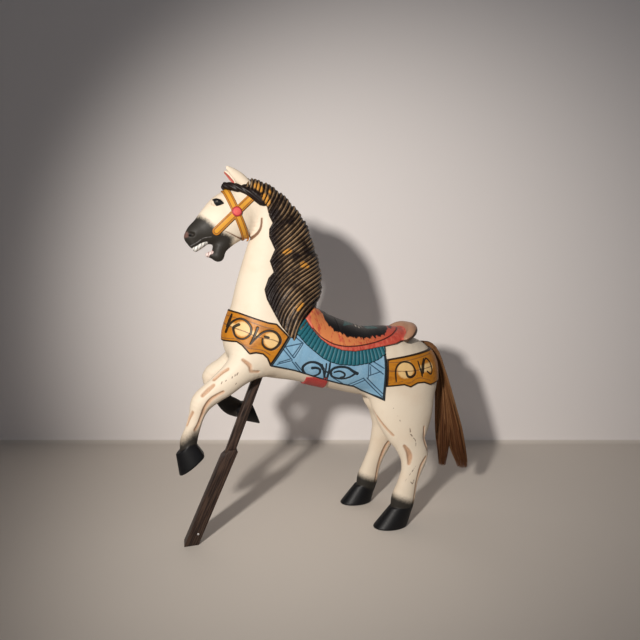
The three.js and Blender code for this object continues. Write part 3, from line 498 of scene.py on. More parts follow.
# Where along Y a groove's line starts and which way it goes: from outside, or from between the legs
NEAR, FAR_SIDE, INNER = (-115.0, 1), (115.0, -1), (5.0, 1)
FAR_TENDON = [(72, 158, 3), (60, 144, 4), (48, 112, 3.5), (37, 68, 3), (32, 52, 2)]
grooves = [groove(*side, line, depth) for side, depth, line in [
    (NEAR, 0.8, [(-347, 333, 2), (-361, 326, 2.6), (-373, 318, 3), (-383, 304, 3), (-390, 285, 2.8),
                 (-397, 268, 2.4), (-404, 257, 1.8)]),
    (NEAR, 0.8, [(-366, 347, 2.5), (-377, 338, 3.5), (-388, 328, 3)]),
    (NEAR, 0.8, [(-408, 293, 2), (-414, 281, 2.5), (-419, 267, 2)]),
    (NEAR, 0.8, [(-307, 396, 2), (-293, 384, 3), (-290, 372, 2.5), (-274, 369, 2)]),
    (NEAR, 0.8, [(-337, 378, 2.5), (-350, 370, 3), (-364, 358, 3)]),
    (NEAR, 0.8, [(98, 226, 1.8), (99, 204, 2.6), (104, 184, 2.6), (110, 170, 2)]),
    (NEAR, 0.8, [(104, 155, 2.4), (95, 144, 3.2), (88, 129, 2.8), (81, 97, 2.4), (75, 66, 2.2),
                 (69, 47, 1.8)]),
    (NEAR, 0.9, [(49, 187, 2.4), (58, 173, 4.6), (62, 158, 5), (61, 144, 2.4)]),
    (NEAR, 0.8, [(-38, 300, 1.4), (-15, 266, 1.8), (4, 234, 1.8), (24, 212, 1.4)]),
    (INNER, 0.9, [(24, 226, 2), (26, 204, 4.4), (22, 176, 5), (15, 156, 2.4)]),
    (INNER, 0.8, FAR_TENDON),
    (FAR_SIDE, 0.8, [(80, 222, 2.5), (82, 196, 3.5), (84, 176, 3)]),
    (FAR_SIDE, 0.8, FAR_TENDON),
    (FAR_SIDE, 0.9, [(39, 200, 3), (38, 176, 6.5), (34, 150, 3)]),
    (FAR_SIDE, 0.8, [(-325, 372, 2.5), (-345, 362, 3.5), (-360, 350, 3), (-356, 330, 3), (-344, 306, 3)]),
]]


def groove_depth(points):
    return np.minimum.reduce([each(points) for each in grooves])


def coat(points):
    """The carved horse without its mane, saddle and straps."""
    form = body(points)
    near = np.abs(form) < 14
    form[near] = common(form[near], -groove_depth(points[near]), 2.5)
    cut = 1.3 * np.clip(0.5 - cheek_line(points[near]) / 3, 0, 1)
    form[near] += np.where(points[near][:, 0] < -250, cut, 0)
    return form


def hooves(points):
    return np.minimum.reduce([each(points) for each in hoof_forms])


def horse_form(points):
    form = coat(points)
    for each in hoof_forms:
        form = blend(form, each(points), 3)
    return np.maximum(form, -points[:, 2])


def mane_form(points):
    form = blend(mane_bulk(points), blend(trunk(points), head(points), 12) - MANE_THICKNESS, 8)
    near = np.abs(form) < 12
    number = lock_number(points[near])
    ridge = 1 - np.abs(np.sin(math.pi * number / LOCK_PITCH)) ** 0.7
    strand = 0.6 * (1 - np.abs(np.sin(3 * math.pi * number / LOCK_PITCH)))
    part = np.mod(number / TRESS_PITCH, 1)
    tress = np.where(part < 0.12, 1 - part / 0.12, np.clip((part - 0.55) / 0.45, 0, 1) ** 2)
    form[near] += LOCK_DEPTH * ridge + strand + TRESS_DEPTH * tress
    form = common(form, mane_edge(points), 6)
    lock = forelock(mirrored(points))
    twist = points[:, 2] * 0.9 + points[:, 0] * 0.75
    return blend(form, lock + 1.2 * (1 - np.abs(np.sin(0.36 * twist))), 3)


def shell(edge, thickness, relief=None):
    """A layer over the coat: within its outline, from just under the skin to its thickness."""
    def distance(points):
        skin = coat(points)
        height = np.full(len(points), thickness, np.float32)
        if relief:
            height -= relief(points)
        return common(common(skin - height, edge(points), EDGE_ROUNDING), -skin - LAYER_SUNK, 0.6)
    return distance


def carved_in(lines, depth, softness=1.2):
    return lambda points: depth * np.clip(0.5 - lines(points) / softness, 0, 1)


def both(*reliefs):
    return lambda points: sum(relief(points) for relief in reliefs)


def pleat_wave(points):
    """0 in the fold between two pleats, 1 on a pleat. The pleats stand square to the saddle's rim."""
    angle = np.arctan2(points[:, 0] - PLEAT_CENTRE[0], PLEAT_CENTRE[1] - points[:, 2])
    return np.abs(np.sin(math.pi * angle * PLEAT_RADIUS / PLEAT_PITCH))


def pleat_hollow(points):
    return PLEAT_DEPTH * (1 - pleat_wave(points)) ** 2


def saddle_form(points):
    skin = coat(points)
    edge = saddle_edge(points)
    rise = np.clip(0.5 - edge / SADDLE_SLOPE, 0, 1)
    smooth_rise = rise * rise * (3 - 2 * rise)
    height = SADDLE_RIM + (SADDLE_THICKNESS - SADDLE_RIM) * smooth_rise - carved_in(saddle_line, 1.4)(points)
    form = common(common(skin - height, edge, 3), -skin - LAYER_SUNK, 0.6)
    return blend(blend(form, cantle(points), 8), pommel(points), 10)


def bridle_form(points):
    skin = coat(points)
    strap = bridle_straps(points)
    height = BRIDLE_THICKNESS - 0.7 * np.clip(0.5 - np.abs(strap + 3.2) / 1.6, 0, 1)
    form = common(skin - height, strap, 1.2)
    rose = rosette_edge(points)
    dome = BRIDLE_THICKNESS + 1.2 + ROSETTE_DOME * np.sqrt(np.clip(-rose / ROSETTE_RADIUS, 0, 1))
    form = np.minimum(form, common(skin - dome, rose, 1.5))
    return common(form, -skin - 2.0, 0.6)


# Meshes from distances: the skin is found in small blocks of a grid and drawn with one vertex to a cell.
def evaluated(field, points):
    """The field at the points, worked out in four threads."""
    parts = np.array_split(points.astype(np.float32), max(1, len(points) // 40000))
    with ThreadPoolExecutor(4) as pool:
        return np.concatenate(list(pool.map(field, parts)))


def combinations(ranges):
    """Every combination of three ranges of numbers, one to a row."""
    return np.stack(np.meshgrid(*ranges, indexing="ij"), -1).reshape(-1, 3)


def sampled(field, low, high, cell):
    """The field on a grid, worked out only near the skin: elsewhere it is just inside or outside."""
    start = np.floor(np.array(low) / cell) * cell - 0.5 * cell
    block = 16
    count = (np.ceil((np.array(high) - start) / cell / block).astype(int)) * block + 1
    values = np.full(count, FAR, np.float32)
    spots = combinations([np.arange(0, n - 1, block) for n in count])
    while True:
        distance = evaluated(field, start + (spots + block / 2) * cell)
        for filled, value in ((distance < 0, -FAR), (distance >= 0, FAR)):
            for i, j, k in spots[filled]:
                values[i:i + block + 1, j:j + block + 1, k:k + block + 1] = value
        spots = spots[np.abs(distance) < block * cell * 1.3 + 3]
        if block == 4:
            break
        block //= 2
        halves = combinations([[0, block]] * 3)
        spots = (spots[:, None] + halves[None]).reshape(-1, 3)
    offsets = combinations([np.arange(block + 1)] * 3)
    index = (spots[:, None] + offsets[None]).reshape(-1, 3)
    flat = np.unique(np.ravel_multi_index(index.T, count))
    index = np.stack(np.unravel_index(flat, count), 1)
    values.reshape(-1)[flat] = evaluated(field, start + index * cell)
    return start, values


def net(start, values, cell):
    """One vertex for each cell that the skin crosses, and a face for each crossed grid edge."""
    inside = values < 0
    corners = [(i, j, k) for i in (0, 1) for j in (0, 1) for k in (0, 1)]
    shape = np.array(values.shape) - 1
    total = np.zeros(shape, np.int8)
    for i, j, k in corners:
        total += inside[i:i + shape[0], j:j + shape[1], k:k + shape[2]]
    cells = np.argwhere((total > 0) & (total < 8))
    number = np.full(shape, -1, np.int32)
    number[tuple(cells.T)] = np.arange(len(cells))
    at = {c: values[tuple((cells + np.array(c)).T)] for c in corners}
    place = np.zeros((len(cells), 3))
    crossings = np.zeros(len(cells))
    for axis in range(3):
        for c in corners:
            if c[axis]:
                continue
            a, b = at[c], at[tuple(v + (k == axis) for k, v in enumerate(c))]
            crossed = (a < 0) != (b < 0)
            t = np.where(crossed, a / np.where(crossed, a - b, 1), 0)
            for k in range(3):
                place[:, k] += crossed * (c[k] + (t if k == axis else 0))
            crossings += crossed
    vertices = start + (cells + place / crossings[:, None]) * cell
    faces = []
    for axis in range(3):
        u, v = (axis + 1) % 3, (axis + 2) % 3
        first = np.take(inside, range(inside.shape[axis] - 1), axis)
        second = np.take(inside, range(1, inside.shape[axis]), axis)
        edges = np.argwhere(first != second)
        across = edges[:, [u, v]]
        edges = edges[((across > 0) & (across < shape[[u, v]])).all(1)]
        leaving = first[tuple(edges.T)]
        du, dv = np.eye(3, dtype=int)[u], np.eye(3, dtype=int)[v]
        around = [(0, 0), (1, 0), (1, 1), (0, 1)]
        quad = np.stack([number[tuple((edges - s * du - t * dv).T)] for s, t in around], 1)
        faces.append(np.where(leaving[:, None], quad, quad[:, ::-1]))
    return vertices, np.concatenate(faces)


def drawn_to_skin(field, vertices, cell):
    """Moves each vertex towards the true skin, along the slope of the field."""
    step = 0.3 * cell
    value = evaluated(field, vertices)
    slope = np.stack([evaluated(field, vertices + step * axis) - value for axis in np.eye(3)], 1) / step
    length = np.maximum((slope ** 2).sum(1), 0.4)
    return vertices - slope * np.clip(value / length, -0.4 * cell, 0.4 * cell)[:, None]


def new_piece(name, vertices, faces):
    """A smooth-shaded mesh object at the origin, its vertices in metres in the part's frame."""
    mesh = bpy.data.meshes.new(name)
    mesh.from_pydata(np.asarray(vertices).tolist(), [], np.asarray(faces).tolist())
    mesh.update()
    mesh.shade_smooth()
    piece = bpy.data.objects.new(name, mesh)
    bpy.context.scene.collection.objects.link(piece)
    return piece


def applied(piece):
    """Turns the piece's modifiers into its mesh."""
    graph = bpy.context.evaluated_depsgraph_get()
    mesh = bpy.data.meshes.new_from_object(piece.evaluated_get(graph))
    piece.modifiers.clear()
    piece.data = mesh
    return piece


def drawn_vertices(piece):
    """The piece's vertices back in drawn millimetres."""
    points = np.empty(len(piece.data.vertices) * 3)
    piece.data.vertices.foreach_get("co", points)
    points = (points.reshape(-1, 3) * 1000 - np.array([ORIGIN_X, ORIGIN_Y, 0])) / SHARE
    return points.astype(np.float32)


def add_attribute(piece, name, values):
    attribute = piece.data.attributes.new(name, "FLOAT", "POINT")
    attribute.data.foreach_set("value", np.asarray(values, np.float32))


def hollowness(piece, rounds=3):
    """How far each vertex lies below its neighbours, in millimetres, positive in a hollow."""
    mesh = piece.data
    edges = np.empty(len(mesh.edges) * 2, np.int32)
    mesh.edges.foreach_get("vertices", edges)
    a, b = edges.reshape(-1, 2).T
    points = np.empty(len(mesh.vertices) * 3)
    mesh.vertices.foreach_get("co", points)
    points = points.reshape(-1, 3) * 1000
    normals = np.empty(len(mesh.vertices) * 3)
    mesh.vertices.foreach_get("normal", normals)
    normals = normals.reshape(-1, 3)
    ends = np.concatenate([a, b])
    others = np.concatenate([b, a])
    degree = np.bincount(ends, minlength=len(points))
    mean = points
    for _ in range(rounds):
        mean = np.stack([np.bincount(ends, mean[others, k], len(points)) / degree for k in range(3)], 1)
    return ((mean - points) * normals).sum(1)


# Shader maths as Python expressions
def maths(operation, reflected=False):
    """A method that adds a Math node for its socket and one other value or none."""
    def method(self, *others):
        values = [*others, self] if reflected else [self, *others]
        return self.tree.node("ShaderNodeMath", {"operation": operation}, values)
    return method


class Wire:
    """A socket of a shader tree. Operators on it add Math nodes."""
    __add__ = __radd__ = maths("ADD")
    __sub__ = maths("SUBTRACT")
    __rsub__ = maths("SUBTRACT", reflected=True)
    __mul__ = __rmul__ = maths("MULTIPLY")
    __truediv__ = maths("DIVIDE")
    __abs__ = maths("ABSOLUTE")
    max = maths("MAXIMUM")
    sin = maths("SINE")
    sqrt = maths("SQRT")
    fraction = maths("FRACT")

    def __init__(self, tree, socket):
        self.tree = tree
        self.socket = socket

    def ramp(self, start, end):
        """0 before start, 1 after end, smooth between them."""
        settings = {"interpolation_type": "SMOOTHSTEP"}
        low, high, first, last = (start, end, 0.0, 1.0) if start < end else (end, start, 1.0, 0.0)
        return self.tree.node("ShaderNodeMapRange", settings, [self, low, high, first, last])


class Shader:
    """The node tree of one material."""

    def __init__(self, name, **constants):
        self.material = bpy.data.materials.new(name)
        self.material.use_nodes = True
        self.nodes = self.material.node_tree.nodes
        self.links = self.material.node_tree.links
        self.surface = self.nodes["Principled BSDF"]
        for socket, value in constants.items():
            self.surface.inputs[socket.replace("_", " ")].default_value = value
        place = self.nodes.new("ShaderNodeTexCoord").outputs["Object"]
        self.place = self.scaled(Wire(self, place), 1000.0, 1000.0, 1000.0)
        split = self.nodes.new("ShaderNodeSeparateXYZ")
        self.links.new(self.place.socket, split.inputs[0])
        x, y, z = [Wire(self, output) for output in split.outputs]
        self.x, self.y, self.z = (x - ORIGIN_X) / SHARE, (y - ORIGIN_Y) / SHARE, z / SHARE

    def node(self, kind, settings, values, output=0):
        """Adds a node with its settings, and values or wires for its sockets."""
        made = self.nodes.new(kind)
        for key, value in settings.items():
            setattr(made, key, value)
        sockets = values.items() if isinstance(values, dict) else enumerate(values)
        for key, value in sockets:
            if isinstance(value, Wire):
                self.links.new(value.socket, made.inputs[key])
            else:
                made.inputs[key].default_value = value
        return Wire(self, made.outputs[output])

    def attribute(self, name):
        return self.node("ShaderNodeAttribute", {"attribute_name": name}, [], "Fac")

    def noise(self, scale, detail=3.0, roughness=0.6, place=None):
        """Noise with so many features to a millimetre."""
        values = {"Vector": place or self.place, "Scale": scale, "Detail": detail, "Roughness": roughness}
        return self.node("ShaderNodeTexNoise", {}, values)

    def scaled(self, vector, x, y, z):
        return self.node("ShaderNodeVectorMath", {"operation": "MULTIPLY"}, [vector, (x, y, z)])

    def stretched(self, x, y, z):
        return self.scaled(self.place, x, y, z)

    def away_from(self, x, z):
        """Distance to a spot of the side view, in drawn millimetres."""
        aside, above = self.x - x, self.z - z
        return (aside * aside + above * above).sqrt()

    def mix(self, a, b, factor):
        settings = {"data_type": "RGBA", "clamp_factor": True}
        values = {0: factor, 6: colour(a), 7: colour(b)}
        return self.node("ShaderNodeMix", settings, values, 2)

    def finish(self, base, roughness, bump=None, distance=1.0, **others):
        wires = {"Base Color": base, "Roughness": roughness, **others}
        if bump is not None:
            height = {"Height": bump, "Distance": distance / 1000, "Strength": 1.0}
            wires["Normal"] = self.node("ShaderNodeBump", {}, height)
        for socket, wire in wires.items():
            self.links.new(wire.socket, self.surface.inputs[socket.replace("_", " ")])
        return self.material


def colour(value):
    return value if isinstance(value, Wire) else (*value[:3], 1.0)


# Finishes
def painted_coat(colours):
    s = Shader("painted_coat", Coat_Weight=0.04, Coat_Roughness=0.35, Specular_IOR_Level=0.25)
    x, y, z = s.x, s.y, s.z
    hollow, cut, hoof_skin = s.attribute("hollow"), s.attribute("groove"), s.attribute("hoof")
    muzzle, cheek, lip = s.attribute("muzzle"), s.attribute("cheek"), s.attribute("lip")
    broad = s.noise(0.014, 3)
    patchy = s.noise(0.06, 3)
    fine = s.noise(0.25, 4)

    cream = s.mix(colours.cream, colours.cream_shade, broad.ramp(0.42, 0.75) * 0.55)
    # Tan painted shade: the coat darkens in its hollows and beside its carved grooves.
    base = s.mix(cream, colours.wash_pale, (hollow + (fine - 0.5) * 0.3).ramp(0.1, 0.6) * 0.6)
    base = s.mix(base, colours.wash_pale, (cut + (patchy - 0.5) * 3).ramp(3.2, -0.4) * 0.75)
    # Dark brown painted shade down in the carved grooves.
    base = s.mix(base, colours.wash, (cut + (fine - 0.5) * 2).ramp(0.2, -1.1) * 0.8)
    base = s.mix(base, colours.wash, (cheek + (fine - 0.5)).ramp(1.4, -0.6) * 0.92)

    # Small scratches show the dark wood.
    chip = s.noise(0.16, 5, 0.75, s.stretched(1.0, 1.0, 0.45)).ramp(0.72, 0.76)
    rare = s.noise(0.012, 2).ramp(0.58, 0.64)
    bare = (chip * rare).max(s.attribute("scratch").ramp(0.5, -0.2) * y.ramp(0, -4))
    base = s.mix(base, colours.bare_wood, bare * 0.85)

    # The muzzle and the pasterns fade to black.
    heel = y.ramp(-1, 1) * -34 + 27
    slant = (z - 78 + (x - heel) * 0.35 + (fine - 0.5) * 8).ramp(6, -16) * z.ramp(120, 100)
    front = (hoof_skin + (fine - 0.5) * 8 - y.ramp(-10, 10) * 24).ramp(30, 5) * z.ramp(120, 140)
    base = s.mix(base, colours.black, slant.max(front) * 0.97)
    base = s.mix(base, colours.black, (muzzle + (fine - 0.5) * 9).ramp(7, -7) * 0.97)
    nose = s.away_from(-413, 650) + (fine - 0.5) * 4
    base = s.mix(base, colours.nose, nose.ramp(9, 4) * 0.6)
    # Painted shade: the hole of the carved nostril is painted black.
    base = s.mix(base, colours.black, s.away_from(-404, 649).ramp(3.6, 2.4))
    # Painted highlight: a grey line along the edge of the upper lip.
    base = s.mix(base, colours.lip, lip.ramp(0.6, -0.5) * 0.55)

    gaps = abs(((x - z * 0.25) * (math.pi / 6.2)).sin()).ramp(0.34, 0.14)
    upper = s.mix(colours.tooth, colours.black, gaps)
    base = s.mix(base, upper, s.attribute("teeth").ramp(0.9, 0.3))
    lower = s.mix(colours.tooth_pink, colours.gum, gaps.max(s.attribute("lower_teeth").ramp(0.2, 0.8)))
    base = s.mix(base, lower, s.attribute("lower_teeth").ramp(0.9, 0.4) * x.ramp(-355, -358))
    base = s.mix(base, colours.ear_red, s.attribute("ear").ramp(1.0, -0.2))
    base = s.mix(base, colours.black, s.attribute("eye").ramp(0.5, -0.4))
    # Painted highlight: a faint cream glint in the eye.
    base = s.mix(base, colours.cream, s.away_from(-350, 717).ramp(1.5, 0.9) * 0.2)
    base = s.mix(base, colours.hoof, hoof_skin.ramp(1.2, 0.3))

    rough = 0.5 + fine * 0.2 - hoof_skin.ramp(2, 0) * 0.12
    bump = fine * 0.25 + patchy * 0.4 - bare * 0.4
    return s.finish(base, rough, bump, 0.8)


def painted_strap(colours):
    s = Shader("painted_strap", Coat_Weight=0.06, Coat_Roughness=0.3, Specular_IOR_Level=0.3)
    edge, mark, trim = s.attribute("edge"), s.attribute("mark"), s.attribute("trim")
    fine = s.noise(0.25, 4)
    brush = s.noise(0.09, 4, 0.7, s.stretched(0.3, 1.0, 1.0))
    base = s.mix(colours.ochre, colours.ochre_deep, (brush + (fine - 0.5) * 0.4).ramp(0.4, 0.8) * 0.85)
    ground = s.attribute("ground") + (fine - 0.5) * 4
    base = s.mix(base, colours.ring_yellow, ground.ramp(1, -5) * 0.8)
    base = s.mix(base, colours.wash, (trim + (fine - 0.5)).ramp(0.6, -0.4) * 0.8)
    border = abs(edge + 0.6).ramp(3.3, 2.4)
    line = (mark + (fine - 0.5) * 0.8).ramp(0.4, -0.3)
    base = s.mix(base, colours.black, line.max(border) * 0.95)
    return s.finish(base, 0.4 + fine * 0.2, fine * 0.25 + brush * 0.3 - line * 0.3, 0.8)


def painted_blanket(colours):
    s = Shader("painted_blanket", Coat_Weight=0.04, Coat_Roughness=0.35, Specular_IOR_Level=0.3)
    edge, mark, line = s.attribute("edge"), s.attribute("mark"), s.attribute("trim")
    fine = s.noise(0.25, 4)
    brush = s.noise(0.05, 4, 0.65, s.stretched(1.0, 1.0, 0.5))
    base = s.mix(colours.blanket, colours.blanket_pale, (brush + (fine - 0.5) * 0.4).ramp(0.4, 0.78) * 0.8)
    # Painted shade: the carved lines of the blanket are darkened.
    base = s.mix(base, colours.blanket_line, line.ramp(0.7, -0.2) * 0.9)
    border = (edge + s.x.ramp(-30, -5) * 1.6 + 3.6).ramp(-0.5, 0.4)
    strokes = (mark + (fine - 0.5) * 0.8).ramp(0.4, -0.3)
    base = s.mix(base, colours.black, strokes.max(border) * 0.95)
    return s.finish(base, 0.45 + fine * 0.2, fine * 0.25 + brush * 0.3 - strokes * 0.3, 0.8)


def painted_fringe(colours):
    s = Shader("painted_fringe", Coat_Weight=0.05, Coat_Roughness=0.35, Specular_IOR_Level=0.3)
    edge, pleat = s.attribute("edge"), s.attribute("pleat")
    fine = s.noise(0.25, 4)
    broad = s.noise(0.03, 3)
    # Painted shade: the folds between the pleats are darker teal.
    base = s.mix(colours.fringe_dark, colours.fringe, (pleat + (fine - 0.5) * 0.5).ramp(0.02, 0.32))
    # Painted highlight: patches of paler teal on the crests of the pleats.
    pleat_highlight = (pleat + (fine - 0.5)).ramp(0.9, 1.2) * broad.ramp(0.5, 0.65)
    base = s.mix(base, colours.fringe_pale, pleat_highlight * 0.4)
    base = s.mix(base, colours.black, (edge + 1.8).ramp(-0.4, 0.6) * 0.92)
    return s.finish(base, 0.42 + fine * 0.2, fine * 0.3, 0.6)


def painted_saddle(colours):
    s = Shader("painted_saddle", Coat_Weight=0.05, Coat_Roughness=0.3, Specular_IOR_Level=0.25)
    x = s.x
    edge, line, seat = s.attribute("edge"), s.attribute("mark"), s.attribute("seat")
    fine = s.noise(0.25, 4)
    broad = s.noise(0.03, 3)
    spikes = s.noise(0.16, 2, 0.5, s.stretched(1.0, 0.2, 0.3))
    streaks = s.noise(0.2, 3, 0.6, s.stretched(1.0, 0.5, 0.3)) + (broad - 0.5) * 0.5
    rim = s.mix(colours.coral, colours.coral_pale, (streaks - x * 0.0012).ramp(0.42, 0.72) * 0.7)
    rim = s.mix(rim, colours.coral_deep, streaks.ramp(0.45, 0.3) * 0.6)
    peach = s.mix(colours.peach, colours.coral, (streaks + x * 0.004).ramp(0.25, 0.6))
    peach = s.mix(peach, colours.coral, streaks.ramp(0.5, 0.35) * 0.8)
    base = s.mix(rim, peach, (s.attribute("top") + (fine - 0.5) * 3).ramp(1, -2))
    base = s.mix(base, colours.black, line.ramp(0.6, -0.4) * 0.85)
    base = s.mix(base, colours.seat, (seat + (spikes - 0.5) * 22 + 1).ramp(1, -1))
    base = s.mix(base, colours.leaf, s.attribute("leaf").ramp(0.4, -0.4) * 0.9)
    base = s.mix(base, colours.cream, s.attribute("bud").ramp(0.4, -0.4) * 0.8)
    base = s.mix(base, colours.cantle, (s.attribute("cantle") + (fine - 0.5)).ramp(1.4, 0.2))
    base = s.mix(base, colours.black, (edge + 1.2).ramp(-0.5, 0.5) * 0.8)
    return s.finish(base, 0.34 + fine * 0.2, fine * 0.25 + streaks * 0.3, 0.8)


def painted_bridle(colours):
    s = Shader("painted_bridle", Coat_Weight=0.06, Coat_Roughness=0.3, Specular_IOR_Level=0.3)
    edge, rose = s.attribute("edge"), s.attribute("rose")
    fine = s.noise(0.3, 4)
    # Painted highlight: the middle of each bridle strap is lighter.
    base = s.mix(colours.ochre, colours.ochre_pale, (edge + 4.4).ramp(0.4, -0.6) * 0.7)
    lines = (edge + 0.9).ramp(-0.4, 0.5).max(abs(edge + 3.6).ramp(1.0, 0.4))
    base = s.mix(base, colours.wash, (lines + (fine - 0.5) * 0.2) * 0.85)
    petal = s.mix(colours.rose, colours.rose_deep, (rose + 3.0).ramp(-0.8, 0.8))
    petal = s.mix(petal, colours.coral_pale, (rose + 7.4).ramp(0.6, -0.6) * 0.5)
    base = s.mix(base, petal, rose.ramp(0.3, -0.3))
    return s.finish(base, 0.38 + fine * 0.2, fine * 0.3, 0.5)


def painted_cinch(colours):
    s = Shader("painted_cinch", IOR=1.5)
    fine = s.noise(0.25, 4)
    base = s.mix(colours.cinch, colours.coral, fine.ramp(0.45, 0.8))
    return s.finish(base, 0.4 + fine * 0.2, fine * 0.3, 0.6)


def painted_mane(colours):
    s = Shader("painted_mane", Coat_Weight=0.04, Coat_Roughness=0.3, Specular_IOR_Level=0.25)
    number, hollow = s.attribute("lock"), s.attribute("hollow")
    fine = s.noise(0.3, 4)
    patchy = s.noise(0.03, 3)
    part = (number / LOCK_PITCH).fraction()
    line = abs(part - 0.4 + (fine - 0.5) * 0.16).ramp(0.21, 0.08)
    thin = abs(part - 0.75 + (fine - 0.5) * 0.12).ramp(0.10, 0.03) * 0.6
    open_side = (s.x + (fine - 0.5) * 20).ramp(-240, -205).max(s.z.ramp(690, 715))
    lit = line.max(thin) * patchy.ramp(0.3, 0.6) * open_side * s.attribute("forelock").ramp(0, 4)
    base = s.mix(colours.mane, colours.mane_tan, lit * 0.85)
    gold = (s.attribute("gold") + (fine - 0.5) * 10).ramp(1, -4) * abs(part - 0.45).ramp(0.38, 0.25)
    base = s.mix(base, colours.gold, gold * 0.9)
    base = s.mix(base, colours.mane, hollow.ramp(0.15, 0.5))
    return s.finish(base, 0.36 + fine * 0.25, fine * 0.3, 0.5)


def raw_fibre(colours):
    s = Shader("tail_fibre", Specular_IOR_Level=0.2)
    strand = s.attribute("strand")
    tone = s.node("ShaderNodeTexWhiteNoise", {"noise_dimensions": "1D"}, {"W": strand})
    down = s.z.ramp(400, 90)
    base = s.mix(colours.fibre_light, colours.fibre_red, (down + (tone - 0.5) * 0.7).ramp(0.15, 0.85))
    base = s.mix(base, colours.fibre_dark, tone.ramp(0.75, 1.0) * 0.6)
    base = s.mix(base, colours.fibre_pale, tone.ramp(0.3, 0.05) * 0.6)
    fine = s.noise(0.3, 3)
    return s.finish(base, 0.5 + fine * 0.2, fine * 0.3, 0.3)


def stained_wood(colours):
    s = Shader("stained_wood", Coat_Weight=0.04, Coat_Roughness=0.3, Specular_IOR_Level=0.25)
    upright = {"Vector": s.place, "Angle": -GRAIN_TILT}
    along = s.node("ShaderNodeVectorRotate", {"rotation_type": "Y_AXIS"}, upright)
    fibre = s.noise(0.35, 5, 0.65, s.scaled(along, 1, 1, 0.05))
    broad = s.noise(0.02, 2)
    base = s.mix(colours.stain, colours.stain_red, (fibre * 0.7 + broad * 0.5).ramp(0.45, 0.85))
    wear = s.attribute("hollow").ramp(-0.05, -0.5) * fibre.ramp(0.4, 0.6)
    base = s.mix(base, colours.stain_worn, wear * 0.6)
    return s.finish(base, 0.36 + fibre * 0.25, fibre, 0.5)


def bright_steel(colours):
    s = Shader("nail_steel", Metallic=1.0)
    fine = s.noise(1.5, 2)
    return s.finish(s.mix(colours.steel, colours.black, fine.ramp(0.6, 0.9) * 0.4), 0.3 + fine * 0.2)


def backdrop_paint(colours):
    s = Shader("backdrop")
    base = s.mix(colours.floor, colours.wall, s.z.ramp(8, 14))
    return s.finish(base, s.noise(0.02) * 0.1 + 0.7)


# Settings
# Each colour with what it paints
COLOURS = {
    "cream": ("Coat of the horse", (0.74, 0.64, 0.51)),
    "cream_shade": ("Darker cream of the coat", (0.69, 0.55, 0.41)),
    # Painted shade: tan for the hollows of the coat and beside its grooves
    "wash_pale": ("Tan wash in the hollows of the coat", (0.50, 0.29, 0.17)),
    # Dark brown for painted lines, and painted shade in the carved grooves of the coat
    "wash": ("Brown wash in the deepest lines", (0.16, 0.07, 0.03)),
    "black": ("Painted lines and muzzle", (0.003, 0.003, 0.003)),
    "hoof": ("Black gloss of the hooves", (0.004, 0.004, 0.005)),
    "nose": ("Pink brown tip of the nose", (0.22, 0.11, 0.09)),
    # Painted highlight along the edge of the lip
    "lip": ("Grey line along the lip", (0.28, 0.27, 0.27)),
    "tooth": ("Upper teeth", (0.80, 0.78, 0.74)),
    "tooth_pink": ("Lower teeth", (0.72, 0.60, 0.56)),
    "gum": ("Dark red around the lower teeth", (0.20, 0.035, 0.03)),
    "ear_red": ("Inside of the ears", (0.45, 0.06, 0.05)),
    "ochre": ("Straps and bridle", (0.50, 0.19, 0.012)),
    "ochre_deep": ("Shaded straps", (0.30, 0.095, 0.006)),
    # Painted highlight along the middle of the bridle straps
    "ochre_pale": ("Middle of the bridle straps", (0.72, 0.36, 0.04)),
    "ring_yellow": ("Light ground of the scrolls", (0.82, 0.58, 0.27)),
    "blanket": ("Blue of the blanket", (0.20, 0.38, 0.54)),
    "blanket_pale": ("Worn blue of the blanket", (0.30, 0.48, 0.62)),
    # Painted shade in the carved lines of the blanket
    "blanket_line": ("Carved lines of the blanket", (0.02, 0.055, 0.10)),
    "fringe": ("Teal of the fringe", (0.012, 0.115, 0.15)),
    # Painted highlight on the crests of the fringe's pleats
    "fringe_pale": ("Rubbed pleats of the fringe", (0.035, 0.22, 0.25)),
    # Painted shade in the folds of the fringe
    "fringe_dark": ("Folds of the fringe", (0.004, 0.035, 0.045)),
    "coral": ("Rim of the saddle", (0.52, 0.07, 0.045)),
    "coral_deep": ("Darker strokes on the rim", (0.36, 0.03, 0.03)),
    "coral_pale": ("Lighter strokes on the rim", (0.68, 0.17, 0.11)),
    "peach": ("Brush strokes over the rim", (0.66, 0.22, 0.075)),
    "seat": ("Black seat of the saddle", (0.006, 0.005, 0.006)),
    "leaf": ("Teal leaves on the seat", (0.02, 0.10, 0.10)),
    "cantle": ("Brown back of the saddle", (0.42, 0.23, 0.14)),
    "rose": ("Rosette of the bridle", (0.70, 0.10, 0.10)),
    "rose_deep": ("Rim of the rosette", (0.38, 0.03, 0.035)),
    "cinch": ("Red cinch under the belly", (0.42, 0.03, 0.028)),
    "bare_wood": ("Wood in chips of the paint", (0.10, 0.05, 0.03)),
    "mane": ("Black of the mane", (0.010, 0.005, 0.004)),
    "mane_tan": ("Dry-brushed ridges of the mane", (0.36, 0.23, 0.12)),
    "gold": ("Gold strokes on the mane", (0.62, 0.28, 0.04)),
    "fibre_light": ("Root of the tail", (0.19, 0.085, 0.032)),
    "fibre_red": ("Lower tail", (0.13, 0.048, 0.018)),
    "fibre_dark": ("Dark strands of the tail", (0.018, 0.008, 0.005)),
    "fibre_pale": ("Pale strands of the tail", (0.40, 0.22, 0.10)),
    "stain": ("Wood of the prop", (0.011, 0.007, 0.006)),
    "stain_red": ("Grain of the prop", (0.030, 0.013, 0.009)),
    "stain_worn": ("Rubbed edges of the prop", (0.09, 0.055, 0.038)),
    "steel": ("Nail in the prop's foot", (0.75, 0.75, 0.76)),
    "wall": ("Backdrop", (0.90, 0.85, 0.83)),
    "floor": ("Floor", (0.68, 0.62, 0.555)),
}


